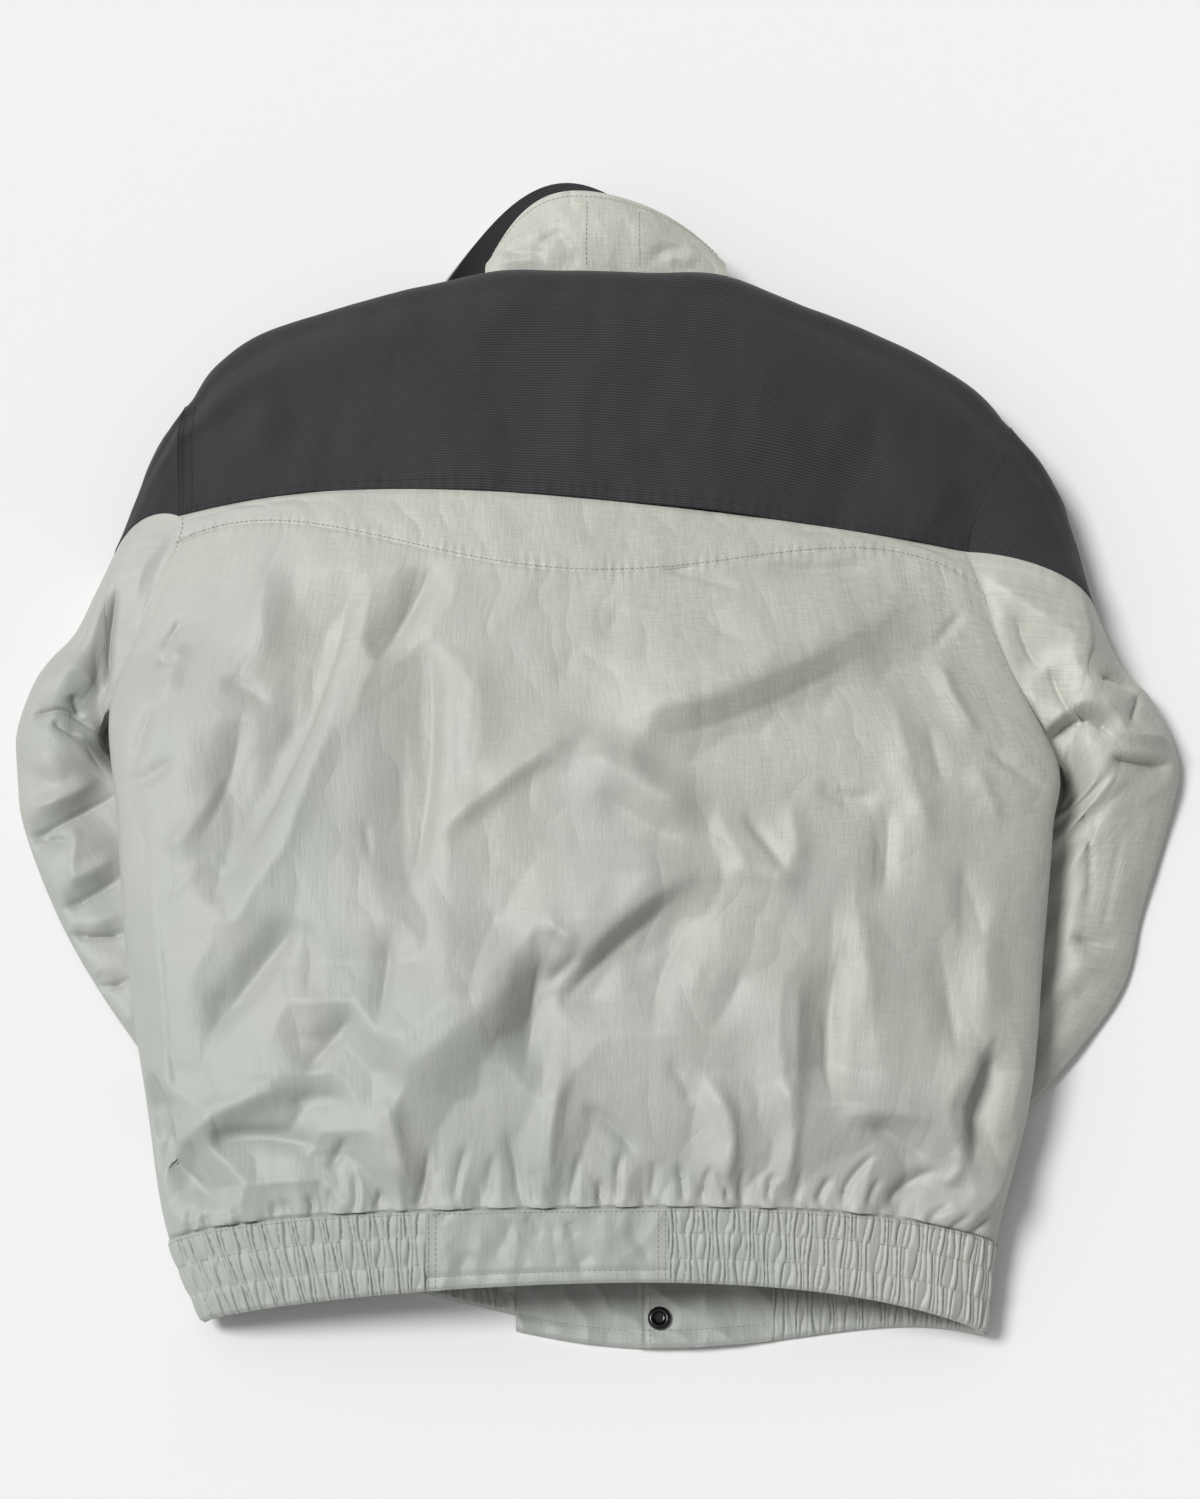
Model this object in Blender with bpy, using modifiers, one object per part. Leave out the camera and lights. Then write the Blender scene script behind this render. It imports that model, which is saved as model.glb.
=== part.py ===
"""A padded blouson parka that lies face down on a flat surface, with its back upward.

Lengths are millimetres until a wall is made, and metres from there on.
The collar points along +Y, the wearer's left is on -X, and +Z is up.
"""
import math
from collections import namedtuple

import bmesh
import bpy
import numpy as np

# Cloth
MM = 0.001
WALL = 2.4
WAISTBAND_WALL = 3.6
SEAM_GAP = 0.3
ARMHOLE_GAP = 0.6
WELD_DISTANCE = 0.00001
NORMAL_TURN = 0.004
NORMAL_STEP = 0.5

# Body: rows across the garment, from the hem to the shoulder fold.
# The five y columns are at equal steps from the left side to the right side.
# edge_z is the height of the back's side edge, opening how far the front's edge lies below it
# in the armhole, crown_z the height at the centre, and roundness how slowly the side falls away.
Station = namedtuple(
    "Station",
    "name left right y_left y_inner_left y_centre y_inner_right y_right "
    "edge_z opening crown_z roundness",
)
STATIONS = (
    Station("hem edge", -253, 246, -365, -352, -346, -349, -372, 15, 0, 56, 0.9),
    Station("hem seam", -276, 254, -313, -302, -300, -300, -315, 21, 0, 66, 0.9),
    Station("low back", -293, 277, -226, -232, -231, -232, -229, 33, 0, 82, 0.9),
    Station("waist", -309, 290, -132, -143, -143, -140, -125, 39, 0, 92, 0.9),
    Station("middle", -319, 299, -38, -50, -54, -54, -45, 43, 0, 95, 0.9),
    Station("armpit", -327, 303, 42, 21, 14, 7, 5, 44, 0, 95, 1.0),
    Station("low armhole", -309, 274, 92, 78, 68, 62, 66, 52, 28, 94, 1.6),
    Station("band seam", -288, 257, 151, 147, 119, 134, 120, 57, 50, 92, 2.0),
    Station("yoke edge", -285, 249, 172, 183, 174, 161, 146, 58, 53, 88, 2.0),
    Station("yoke middle", -287, 269, 219, 263, 266, 252, 201, 56, 52, 82, 2.2),
    Station("shoulder top", -288, 283, 244, 320, 331, 309, 228, 50, 44, 72, 3.0),
    Station("shoulder roll", -289, 288, 263, 341, 352, 330, 248, 40, 28, 62, 5.0),
    Station("shoulder fold", -290, 290, 270, 348, 359, 337, 255, 24, 0, 50, 6.0),
)
HEM_EDGE = STATIONS[0].y_centre
HEM_SEAM = STATIONS[1].y_centre
ARMPIT = STATIONS[5].y_centre
BAND_SEAM = STATIONS[7].y_centre
YOKE_EDGE = STATIONS[8].y_centre
SHOULDER_TOP = STATIONS[10].y_centre
SHOULDER_FOLD = STATIONS[12].y_centre
FOLD_ROLL = 6.0
BACK_COLUMNS = 44
SIDE_CROWDING = 0.75

# Rows of points along the centre line, shared by the pieces that meet at a seam
BODY_ROWS = np.concatenate((
    HEM_SEAM + np.array([0.0, 9.0, 20.0, 34.0, 52.0, 74.0]),
    np.linspace(HEM_SEAM + 74.0, ARMPIT, 9)[1:],
    np.linspace(ARMPIT, BAND_SEAM, 5)[1:],
))
BAND_ROWS = np.linspace(BAND_SEAM, YOKE_EDGE, 3)
YOKE_ROWS = YOKE_EDGE + (SHOULDER_FOLD - YOKE_EDGE) * np.array([0, 0.2, 0.4, 0.6, 0.75, 0.86, 0.93, 0.97, 1])
ARMHOLE_ROWS = np.concatenate((BODY_ROWS[BODY_ROWS >= ARMPIT], BAND_ROWS[1:]))

# Front: it lies on the floor, hangs lower than the back at the hem, and has a lower neckline
FRONT_HEM_EDGE_DROP = (2, -31, -24)
FRONT_HEM_SEAM_DROP = (4, -22, -18)
FRONT_ROLL_TURN = 0.5
FRONT_COLUMNS = 14
FRONT_CROWDING = 0.5
NECK_DROP = 30.0
NECK_DROP_START = 250.0
NECK_HALF_WIDTH = 60.0
NECK_SHOULDER = 95.0
NECK_Z = 3.0
LAP_EDGE = 24.0
UNDERLAP_EDGE = 58.0
LAP_RAMP_START = 84.0
LAP_RAMP_END = 116.0

# Forearms under the front: the front is lifted over each one
Forearm = namedtuple("Forearm", "elbow_x elbow_y cuff_x cuff_y elbow_reach cuff_reach")
FOREARMS = (
    Forearm(-325, -15, -200, -225, 82, 46),
    Forearm(322, -20, 200, -240, 82, 46),
)
FOREARM_LIFT = 31.5
LIFT_RAMP = 45.0
LIFT_END_Y = -288.0
LIFT_END_RAMP = 32.0

# Back folds: straight soft ridges (height above zero) and troughs (below zero)
Fold = namedtuple("Fold", "start_x start_y end_x end_y width height")
BACK_FOLDS = (
    Fold(-120, -75, 25, 0, 17, 6.0),
    Fold(25, 0, 195, 95, 17, 7.0),
    Fold(45, -25, 190, 60, 20, -5.0),
    Fold(-8, -15, 52, -75, 13, -5.0),
    Fold(-17, -140, 62, -95, 13, 6.0),
    Fold(62, -95, 130, -100, 14, 4.0),
    Fold(-5, -165, 65, -120, 12, -5.0),
    Fold(-37, -145, -45, -205, 11, -5.0),
    Fold(132, -25, 122, -100, 15, 4.5),
    Fold(105, -20, 92, -85, 13, -3.0),
    Fold(205, 20, 240, -75, 18, 4.0),
    Fold(170, -110, 155, -215, 16, 4.5),
    Fold(120, -140, 105, -225, 14, -4.0),
    Fold(-110, 70, -160, 0, 18, 5.0),
    Fold(-160, 0, -220, -80, 18, 4.0),
    Fold(-85, 20, -150, -70, 18, -5.0),
    Fold(-70, -75, -195, -170, 18, 5.0),
    Fold(-110, -165, -195, -235, 15, -4.0),
    Fold(60, -150, 80, -235, 13, 3.5),
    Fold(-255, 45, -275, -60, 16, 4.0),
    Fold(-285, -60, -262, -240, 12, -3.5),
)
FOLD_SIDE_FADE = 0.4
FOLD_FULL_SHARE = 0.3
FOLD_END_SHARE = 0.2
FOLD_SEAM_FADE = 40.0

# Gathers that the waistband draws into the back
GATHER_DEPTH = 2.2
GATHER_FIRST_ROW = 9.0
GATHER_SHORTEST = 24.0
GATHER_LONGEST = 62.0
GATHER_DEPTH_BEAT = 2.3
GATHER_LENGTH_BEAT = 1.3

# Waistband: shirred at the sides and flat at the centres
BACK_TAB_LEFT = -110.0
BACK_TAB_RIGHT = 43.0
FRONT_TAB_LEFT = -54.0
FRONT_TAB_RIGHT = 110.0
BACK_LEFT_RIBS = 27
BACK_RIGHT_RIBS = 33
FRONT_LEFT_RIBS = 24
FRONT_RIGHT_RIBS = 20
RIB_HEIGHT = 2.4
CHANNEL_ROWS = (0.8, 0.1, 1.0, 0.1, 0.8)
FRONT_CHANNEL_ROWS = (0.8, 0.1, 0.8)
FLAT_ROWS = (0.0, 0.0, 0.0)
FLAT_COLUMNS = 8
ELASTIC_PULL = 9.0

# Sleeves: rings from the armhole to the cuff, each from the outer edge to the inner edge.
# under says how far the ring dips beside the body and passes below it.
Ring = namedtuple("Ring", "outer_x outer_y inner_x inner_y outer_z inner_z top_z under")
LEFT_RINGS = (
    Ring(-326, 168, -332.5, 39, 24, 30, 56, 0.5),
    Ring(-350, 111, -335, 34, 24, 22, 54, 0.9),
    Ring(-380, 68, -335, 25, 24, 16, 52, 1.0),
    Ring(-392, 36, -325, 10, 24, 13, 51, 1.0),
    Ring(-391, -1, -277, -27, 24, 12, 50, 1.0),
    Ring(-384, -39, -240, -56, 22, 12, 48, 1.0),
    Ring(-358, -100, -213, -92, 18, 12, 44, 1.0),
    Ring(-326, -153, -189, -126, 15, 12, 36, 1.0),
    Ring(-286, -207, -176, -162, 13, 12, 25, 1.0),
    Ring(-258, -246, -152, -200, 12, 12, 24, 1.0),
)
RIGHT_RINGS = (
    Ring(325, 161, 308.5, 2, 24, 30, 57, 0.5),
    Ring(336, 121, 311, -2, 24, 24, 55, 0.8),
    Ring(353, 77, 312, -8, 24, 19, 54, 1.0),
    Ring(372, 57, 310, -17, 24, 15, 52, 1.0),
    Ring(387, 27, 304, -27, 24, 13, 50, 1.0),
    Ring(390, 0, 270, -50, 24, 12, 48, 1.0),
    Ring(377, -46, 222, -78, 22, 12, 43, 1.0),
    Ring(361, -93, 206, -102, 20, 12, 40, 1.0),
    Ring(347, -141, 192, -122, 18, 12, 37, 1.0),
    Ring(316, -184, 174, -147, 15, 12, 32, 1.0),
    Ring(276, -228, 168, -178, 13, 12, 25, 1.0),
    Ring(248, -260, 142, -212, 12, 12, 24, 1.0),
)
LEFT_CAP_RINGS = 1.0
RIGHT_CAP_RINGS = 2.0
SLEEVE_UNDER_TOP = 26.0
SLEEVE_PUFF_REACH = 42.0
SLEEVE_TOP_ROUND = 0.85
SLEEVE_BOTTOM_ROUND = 0.45
ARMPIT_CLEARANCE = 0.8
ARMHOLE_LENGTH = 240.0
ARMPIT_RING_Z = 33.0
ARMPIT_RING_RISE = 14.0
ARMPIT_RING_FALL = 15.0
ARMPIT_SHARE = 0.25
THINNEST_SHARE = 0.3
TIP_REACH = 0.12
ARMPIT_TIP_REACH = 1.5
ARMPIT_RINGS = 2.0
ARMHOLE_BLEND = 0.3
SLEEVE_FOLD_SIDE = 12.0
SLEEVE_FOLD_RISE = 0.6
ROWS_PER_RING = 1.6
CUFF_GAP_RINGS = 0.008
SLEEVE_STEP = 0.01
CAP_ROWS = (0.0, 0.25, 0.5, 0.75, 0.9, 0.985)
LEFT_SLEEVE_FOLDS = (
    Fold(-331, 130, -330, 62, 7, -5.0),
    Fold(-352, 20, -330, 18, 8, -5.0),
    Fold(-384, -22, -348, -34, 9, -4.0),
    Fold(-378, 45, -345, 70, 10, 4.0),
    Fold(-372, -70, -330, -78, 10, 4.0),
)
RIGHT_SLEEVE_FOLDS = (
    Fold(262, 122, 345, 72, 16, -2.0),
    Fold(335, 46, 372, 30, 12, -4.0),
    Fold(340, 68, 375, 50, 13, 3.0),
    Fold(350, 5, 378, -8, 8, -4.0),
    Fold(352, -40, 330, -170, 12, 4.0),
)

# Collar: rows from the neckline to the free edge, with the columns of the body's rows
COLLAR_ROWS = (
    Station("back base", -80, 85, 357.3, 359.6, 359.8, 357.8, 351.5, 44, 0, 49.6, 2.0),
    Station("back stand", -78, 82, 366, 382, 386, 380, 362, 40, 0, 59, 2.0),
    Station("back edge", -74, 78, 374, 408, 415, 397, 370, 34, 0, 56, 2.0),
)
LINING_ROWS = (
    Station("front base", -97, 88, 354, 334, 330.5, 328, 349, 10, 0, 8, 2.0),
    Station("front stand", -103, 86, 362, 384, 388, 377, 361, 14, 0, 9, 2.0),
    Station("front edge", -107, 84, 376, 430, 444, 412, 373, 19, 0, 15, 2.0),
)
COLLAR_LAYER = 2.8
COLLAR_COLUMNS = 14
COLLAR_LINES = 6
COLLAR_STEP = 0.01

# Snap on the right tab
SNAP_X = 38.0
SNAP_Y = -361.0
SNAP_PROFILE = ((0.0, 1.6), (2.6, 1.6), (3.4, 2.9), (5.4, 3.4), (7.4, 1.9), (7.4, 0.0), (0.0, 0.0))
SNAP_SIDES = 24

# Colours of the cloths as sRGB values from 0 to 255
SAGE = (190, 192, 184)
CHARCOAL = (66, 66, 69)
BLACK = (24, 25, 26)


def ramp(value):
    """Zero below zero, one above one, and a soft step between."""
    clipped = np.clip(value, 0.0, 1.0)
    return clipped * clipped * (3.0 - 2.0 * clipped)


def smooth_table(knots, values, at):
    """The columns of a table at any place, on a smooth curve through its rows."""
    at = np.clip(np.asarray(at, float), knots[0], knots[-1])
    steps = np.diff(knots)
    slopes = np.diff(values, axis=0) / steps[:, None]
    tangents = np.empty_like(values)
    tangents[0] = slopes[0]
    tangents[-1] = slopes[-1]
    weights = (steps[1:] / (steps[1:] + steps[:-1]))[:, None]
    tangents[1:-1] = slopes[:-1] * weights + slopes[1:] * (1.0 - weights)
    row = np.clip(np.searchsorted(knots, at, side="right") - 1, 0, len(knots) - 2)
    step = steps[row][..., None]
    t = (at[..., None] - knots[row][..., None]) / step
    return (
        values[row] * (2 * t**3 - 3 * t**2 + 1)
        + tangents[row] * step * (t**3 - 2 * t**2 + t)
        + values[row + 1] * (3 * t**2 - 2 * t**3)
        + tangents[row + 1] * step * (t**3 - t**2)
    )


def rows_at(stations, along, knots=None):
    """A station made of arrays, at the given places along the centre line."""
    table = np.array([station[1:] for station in stations], float)
    if knots is None:
        knots = np.array([station.y_centre for station in stations], float)
    columns = np.moveaxis(smooth_table(knots, table, along), -1, 0)
    return Station("", *columns)


def five_across(values, place):
    """A smooth curve through five values at places -1, -0.5, 0, 0.5 and 1."""
    places = (-1.0, -0.5, 0.0, 0.5, 1.0)
    total = 0.0
    for here, value in zip(places, values):
        weight = 1.0
        for other in places:
            if other != here:
                weight = weight * (place - other) / (here - other)
        total = total + value * weight
    return total


def row_x(row, place):
    """The x of a place across a row, from -1 at its left end to 1 at its right end."""
    return (row.left + row.right) / 2.0 + (row.right - row.left) / 2.0 * place


def row_y(row, place):
    """The y of a place across a row."""
    values = (row.y_left, row.y_inner_left, row.y_centre, row.y_inner_right, row.y_right)
    return five_across(values, place)


def turn_at_x(along, x):
    """The turn round the body at which a row crosses the given x."""
    row = rows_at(STATIONS, along)
    place = (x - (row.left + row.right) / 2.0) / ((row.right - row.left) / 2.0)
    return np.arccos(-np.clip(place, -1.0, 1.0))


def fold_height(x, y, folds):
    """The sum of soft straight folds at a place seen from above."""
    total = np.zeros_like(x)
    for fold in folds:
        run_x = fold.end_x - fold.start_x
        run_y = fold.end_y - fold.start_y
        length = math.hypot(run_x, run_y)
        forward = ((x - fold.start_x) * run_x + (y - fold.start_y) * run_y) / length
        sideways = ((x - fold.start_x) * run_y - (y - fold.start_y) * run_x) / length
        beyond = np.maximum(np.abs(forward - length / 2.0) - length * FOLD_FULL_SHARE, 0.0)
        reach = length * FOLD_END_SHARE + fold.width / 2.0
        total += fold.height * np.exp(-((sideways / fold.width) ** 2) - (beyond / reach) ** 2)
    return total


def back_surface(turn, along):
    """The outer face of the back, at a turn from the left side (0) to the right side (pi)."""
    row = rows_at(STATIONS, along)
    place = -np.cos(turn)
    x = row_x(row, place)
    y = row_y(row, place)
    rise = np.clip(np.sin(turn), 0.0, 1.0)
    edge = row.edge_z + SEAM_GAP / 2.0
    z = edge + (row.crown_z - edge) * rise**row.roundness
    fade = ramp(rise / FOLD_SIDE_FADE)
    fade = fade * ramp((along - HEM_SEAM) / FOLD_SEAM_FADE) * ramp((BAND_SEAM - along) / FOLD_SEAM_FADE)
    z = z + fold_height(x, y, BACK_FOLDS) * fade
    return np.stack((x, y, z), axis=-1)


def forearm_lift(x, y):
    """How far the sleeves under the front lift it off the floor."""
    lift = np.zeros_like(x)
    for arm in FOREARMS:
        run_x = arm.cuff_x - arm.elbow_x
        run_y = arm.cuff_y - arm.elbow_y
        share = ((x - arm.elbow_x) * run_x + (y - arm.elbow_y) * run_y) / (run_x**2 + run_y**2)
        share = np.clip(share, 0.0, 1.0)
        distance = np.hypot(x - arm.elbow_x - share * run_x, y - arm.elbow_y - share * run_y)
        reach = arm.elbow_reach + (arm.cuff_reach - arm.elbow_reach) * share
        lift = np.maximum(lift, FOREARM_LIFT * ramp((reach + LIFT_RAMP - distance) / LIFT_RAMP))
    return lift * ramp((y - LIFT_END_Y) / LIFT_END_RAMP)


def front_surface(turn, along, lap=0.0):
    """The outer face of the front, which lies on the floor; lap raises the overlapping front."""
    row = rows_at(STATIONS, along)
    place = -np.cos(turn)
    hem_share = ramp((STATIONS[2].y_centre - along) / (STATIONS[2].y_centre - HEM_SEAM))
    edge_share = np.clip((HEM_SEAM - along) / (HEM_SEAM - HEM_EDGE), 0.0, 1.0)
    drops = [
        hem_share * (seam + (edge - seam) * edge_share)
        for seam, edge in zip(FRONT_HEM_SEAM_DROP, FRONT_HEM_EDGE_DROP)
    ]
    x = row_x(row, place)
    neck = ramp((NECK_SHOULDER - np.abs(x)) / (NECK_SHOULDER - NECK_HALF_WIDTH))
    neck_share = ramp((along - NECK_DROP_START) / (SHOULDER_FOLD - NECK_DROP_START))
    y = row_y(row, place) + five_across((0.0, *drops, 0.0), place) - NECK_DROP * neck * neck_share

    lap_share = 1.0 - ramp((x - LAP_RAMP_START) / (LAP_RAMP_END - LAP_RAMP_START))
    floor = np.maximum(forearm_lift(x, y), lap * lap_share)
    edge = row.edge_z - np.where(along > ARMPIT, row.opening, 0.0) - SEAM_GAP / 2.0
    from_side = np.clip(np.minimum(turn, math.pi - turn), 0.0, FRONT_ROLL_TURN)
    fall = np.sin(from_side / FRONT_ROLL_TURN * math.pi / 2.0) ** np.clip(row.roundness, 1.0, 2.0)
    z = edge + (floor - edge) * fall

    top = rows_at(STATIONS, np.full_like(along, SHOULDER_FOLD))
    fold_z = top.edge_z + (top.crown_z - top.edge_z) * np.clip(np.sin(turn), 0.0, 1.0) ** top.roundness
    fold_z = fold_z * (1.0 - neck) + (NECK_Z + lap * lap_share) * neck - SEAM_GAP / 2.0
    from_fold = np.clip((SHOULDER_FOLD - along) / (SHOULDER_FOLD - SHOULDER_TOP), 0.0, 1.0)
    climb = 1.0 - np.sqrt(2.0 * from_fold - from_fold**2)
    z = z + (np.maximum(fold_z, z) - z) * climb
    return np.stack((x, y, z), axis=-1)


def unit(vectors):
    """Vectors scaled to length one."""
    return vectors / np.linalg.norm(vectors, axis=-1, keepdims=True)


def normals_of(surface, turn, along):
    """The directions square to a surface, facing up on a flat one."""
    across = surface(np.minimum(turn + NORMAL_TURN, math.pi), along)
    across = across - surface(np.maximum(turn - NORMAL_TURN, 0.0), along)
    upward = surface(turn, along + NORMAL_STEP) - surface(turn, along - NORMAL_STEP)
    return unit(np.cross(across, upward)), across


def shoulder_normals(normals, across, along, share=1.0):
    """Normals that lie level where the cloth rolls over the shoulder fold."""
    level = unit(np.stack((-across[..., 1], across[..., 0], np.zeros_like(across[..., 0])), axis=-1))
    weight = ramp((along - SHOULDER_FOLD + FOLD_ROLL) / FOLD_ROLL) * share
    return unit(normals * (1.0 - weight)[..., None] + level * weight[..., None])


def back_normals(turn, along):
    """Outward directions of the back."""
    normals, across = normals_of(back_surface, turn, along)
    return shoulder_normals(normals, across, along)


def front_normals(turn, along, lap=0.0):
    """Outward directions of the front, which face the floor."""
    normals, across = normals_of(lambda t, a: front_surface(t, a, lap), turn, along)
    x = front_surface(turn, along, lap)[..., 0]
    neck = ramp((NECK_SHOULDER - np.abs(x)) / (NECK_SHOULDER - NECK_HALF_WIDTH))
    return shoulder_normals(-normals, across, along, 1.0 - neck)


def seam_along(surface, turn, along, side):
    """The place along the garment half a seam gap to one side of a seam, square to the seam."""
    along = np.full_like(turn, along)
    upward = surface(turn, along + NORMAL_STEP) - surface(turn, along - NORMAL_STEP)
    upward = upward / (2.0 * NORMAL_STEP)
    across = surface(np.minimum(turn + NORMAL_TURN, math.pi), along)
    across = unit(across - surface(np.maximum(turn - NORMAL_TURN, 0.0), along))
    square = upward - across * np.sum(upward * across, axis=-1, keepdims=True)
    return along + side * SEAM_GAP / 2.0 / np.maximum(np.linalg.norm(square, axis=-1), 0.2)


def side_spacing(count):
    """Turns from side to side, closer together where the cloth rolls under."""
    share = np.linspace(0.0, 1.0, count + 1)
    place = (1.0 - SIDE_CROWDING) * (2.0 * share - 1.0) - SIDE_CROWDING * np.cos(math.pi * share)
    return np.arccos(-np.clip(place, -1.0, 1.0))


def make_wall(name, outer, inner, material, collection):
    """A closed wall of cloth between two grids of points, sewn up where its side edges meet."""
    rows, columns = outer.shape[:2]
    cloth = bmesh.new()
    bmesh.ops.create_grid(cloth, x_segments=columns - 1, y_segments=rows - 1, size=1.0)
    row_tag = cloth.verts.layers.int.new("row")
    column_tag = cloth.verts.layers.int.new("column")
    for vertex in cloth.verts:
        vertex[row_tag] = round((vertex.co.y + 1.0) / 2.0 * (rows - 1))
        vertex[column_tag] = round((vertex.co.x + 1.0) / 2.0 * (columns - 1))
    for vertex in cloth.verts:
        vertex.co = outer[vertex[row_tag], vertex[column_tag]] * MM
    bmesh.ops.remove_doubles(cloth, verts=cloth.verts, dist=WELD_DISTANCE)
    grown = bmesh.ops.extrude_face_region(cloth, geom=cloth.faces[:])
    for vertex in grown["geom"]:
        if isinstance(vertex, bmesh.types.BMVert):
            vertex.co = inner[vertex[row_tag], vertex[column_tag]] * MM
    bmesh.ops.recalc_face_normals(cloth, faces=cloth.faces)
    if cloth.calc_volume(signed=True) < 0.0:
        bmesh.ops.reverse_faces(cloth, faces=cloth.faces)
    mesh = bpy.data.meshes.new(name)
    cloth.to_mesh(mesh)
    cloth.free()
    return add_part(name, mesh, material, collection)


def add_part(name, mesh, material, collection):
    """A named part in the garment's collection, shaded smooth but for its sharp rims."""
    mesh.materials.append(material)
    mesh.shade_smooth()
    mesh.set_sharp_from_angle(angle=math.radians(50))
    part = bpy.data.objects.new(name, mesh)
    collection.objects.link(part)
    return part


def make_material(name, colour, roughness):
    """A plain cloth or plastic finish."""
    material = bpy.data.materials.new(name)
    material.use_nodes = True
    shader = material.node_tree.nodes["Principled BSDF"]
    linear = [((value / 255 + 0.055) / 1.055) ** 2.4 for value in colour]
    shader.inputs["Base Color"].default_value = (*linear, 1.0)
    shader.inputs["Roughness"].default_value = roughness
    shader.inputs["Metallic"].default_value = 0.0
    return material


def back_panel(name, rows, turns, material, collection, gathered=False):
    """One piece of the back between two seams; pieces share their normals at a seam."""
    low = seam_along(back_surface, turns, rows[0], 1.0)
    high = seam_along(back_surface, turns, rows[-1], 0.0 if rows[-1] == SHOULDER_FOLD else -1.0)
    on_seams = np.repeat(rows[:, None], len(turns), axis=1)
    along = np.vstack((low, on_seams[1:-1], high))
    turn = np.broadcast_to(turns, along.shape)
    outer = back_surface(turn, along)
    normals = back_normals(turn, on_seams)
    if gathered:
        outer = outer + normals * gather_heights(turn, along)[..., None]
    make_wall(name, outer, outer - normals * WALL, material, collection)


def gather_heights(turn, along):
    """Ridges and troughs by turns along the hem seam, of uneven depth and length."""
    column = np.arange(turn.shape[1])
    depth = GATHER_DEPTH * (0.7 + 0.3 * np.sin(column * GATHER_DEPTH_BEAT)) * np.where(column % 2, 1.0, -1.0)
    length_share = 0.5 + 0.5 * np.sin(column * GATHER_LENGTH_BEAT)
    reach = GATHER_SHORTEST + (GATHER_LONGEST - GATHER_SHORTEST) * length_share
    above = along - HEM_SEAM
    rise = ramp(above / GATHER_FIRST_ROW) * (1.0 - ramp((above - GATHER_FIRST_ROW) / reach))
    return depth * rise * ramp(np.sin(turn) / FOLD_SIDE_FADE)


def make_back(sage, charcoal, collection):
    """The main back panel, the band above it and the yoke."""
    turns = side_spacing(BACK_COLUMNS)
    back_panel("back_body", BODY_ROWS, turns, sage, collection, gathered=True)
    back_panel("back_band", BAND_ROWS, turns, sage, collection)
    back_panel("back_yoke", YOKE_ROWS, turns, charcoal, collection)


def even_turns(surface, along, first, last, count):
    """Turns from first to last that are evenly spaced along the cloth itself."""
    fine = np.linspace(first, last, 600)
    points = surface(fine, np.full_like(fine, along))
    lengths = np.concatenate(([0.0], np.cumsum(np.linalg.norm(np.diff(points, axis=0), axis=1))))
    return np.interp(np.linspace(0.0, lengths[-1], count + 1), lengths, fine)


def waistband_turns(surface, along, first_x, last_x, columns):
    """Turns of a waistband part's columns on each of its rows, from one end to the other."""
    middle = np.array([np.mean(along)])
    first = 0.0 if first_x is None else turn_at_x(middle, first_x)[0]
    last = math.pi if last_x is None else turn_at_x(middle, last_x)[0]
    even = even_turns(surface, middle[0], first, last, columns)
    share = (even - first) / (last - first)
    starts = np.zeros_like(along) if first_x is None else turn_at_x(along, first_x + SEAM_GAP / 2.0)
    ends = np.full_like(along, math.pi) if last_x is None else turn_at_x(along, last_x - SEAM_GAP / 2.0)
    return starts[:, None] + (ends - starts)[:, None] * share


def rib_heights(columns, rows):
    """Every second column raised, less so on the rows that are stitched down."""
    return np.arange(columns + 1) % 2 * np.array(rows)[:, None] * RIB_HEIGHT


def waistband_back(name, first_x, last_x, ribs, material, collection):
    """A part of the waistband across the back, with shirred ribs raised on its outer face."""
    columns = 2 * ribs if ribs else FLAT_COLUMNS
    rows = CHANNEL_ROWS if ribs else FLAT_ROWS
    along = np.linspace(HEM_EDGE, HEM_SEAM, len(rows))
    turn = waistband_turns(back_surface, along, first_x, last_x, columns)
    along = np.repeat(along[:, None], turn.shape[1], axis=1)
    normals = back_normals(turn, along)
    along[-1] -= SEAM_GAP / 2.0
    base = back_surface(turn, along)
    outer = base + normals * rib_heights(columns, rows)[..., None]
    make_wall(name, outer, base - normals * WAISTBAND_WALL, material, collection)


def waistband_front(name, first_x, last_x, ribs, lap, pull, material, collection):
    """A part of the waistband across the front; its ribs stand on the inside, clear of the floor."""
    columns = 2 * ribs if ribs else FLAT_COLUMNS
    rows = FRONT_CHANNEL_ROWS if ribs else FLAT_ROWS
    along = np.linspace(HEM_EDGE + pull, HEM_SEAM, len(rows))
    turn = waistband_turns(lambda t, a: front_surface(t, a, lap), along, first_x, last_x, columns)
    along = np.repeat(along[:, None], turn.shape[1], axis=1)
    normals = front_normals(turn, along, lap)
    along[-1] -= SEAM_GAP / 2.0
    base = front_surface(turn, along, lap)
    from_side = np.minimum(turn, math.pi - turn)
    ribs_up = rib_heights(columns, rows) * ramp(from_side / FRONT_ROLL_TURN - 0.5)
    inner = base - normals * (WAISTBAND_WALL + ribs_up)[..., None]
    make_wall(name, base, inner, material, collection)


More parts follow.
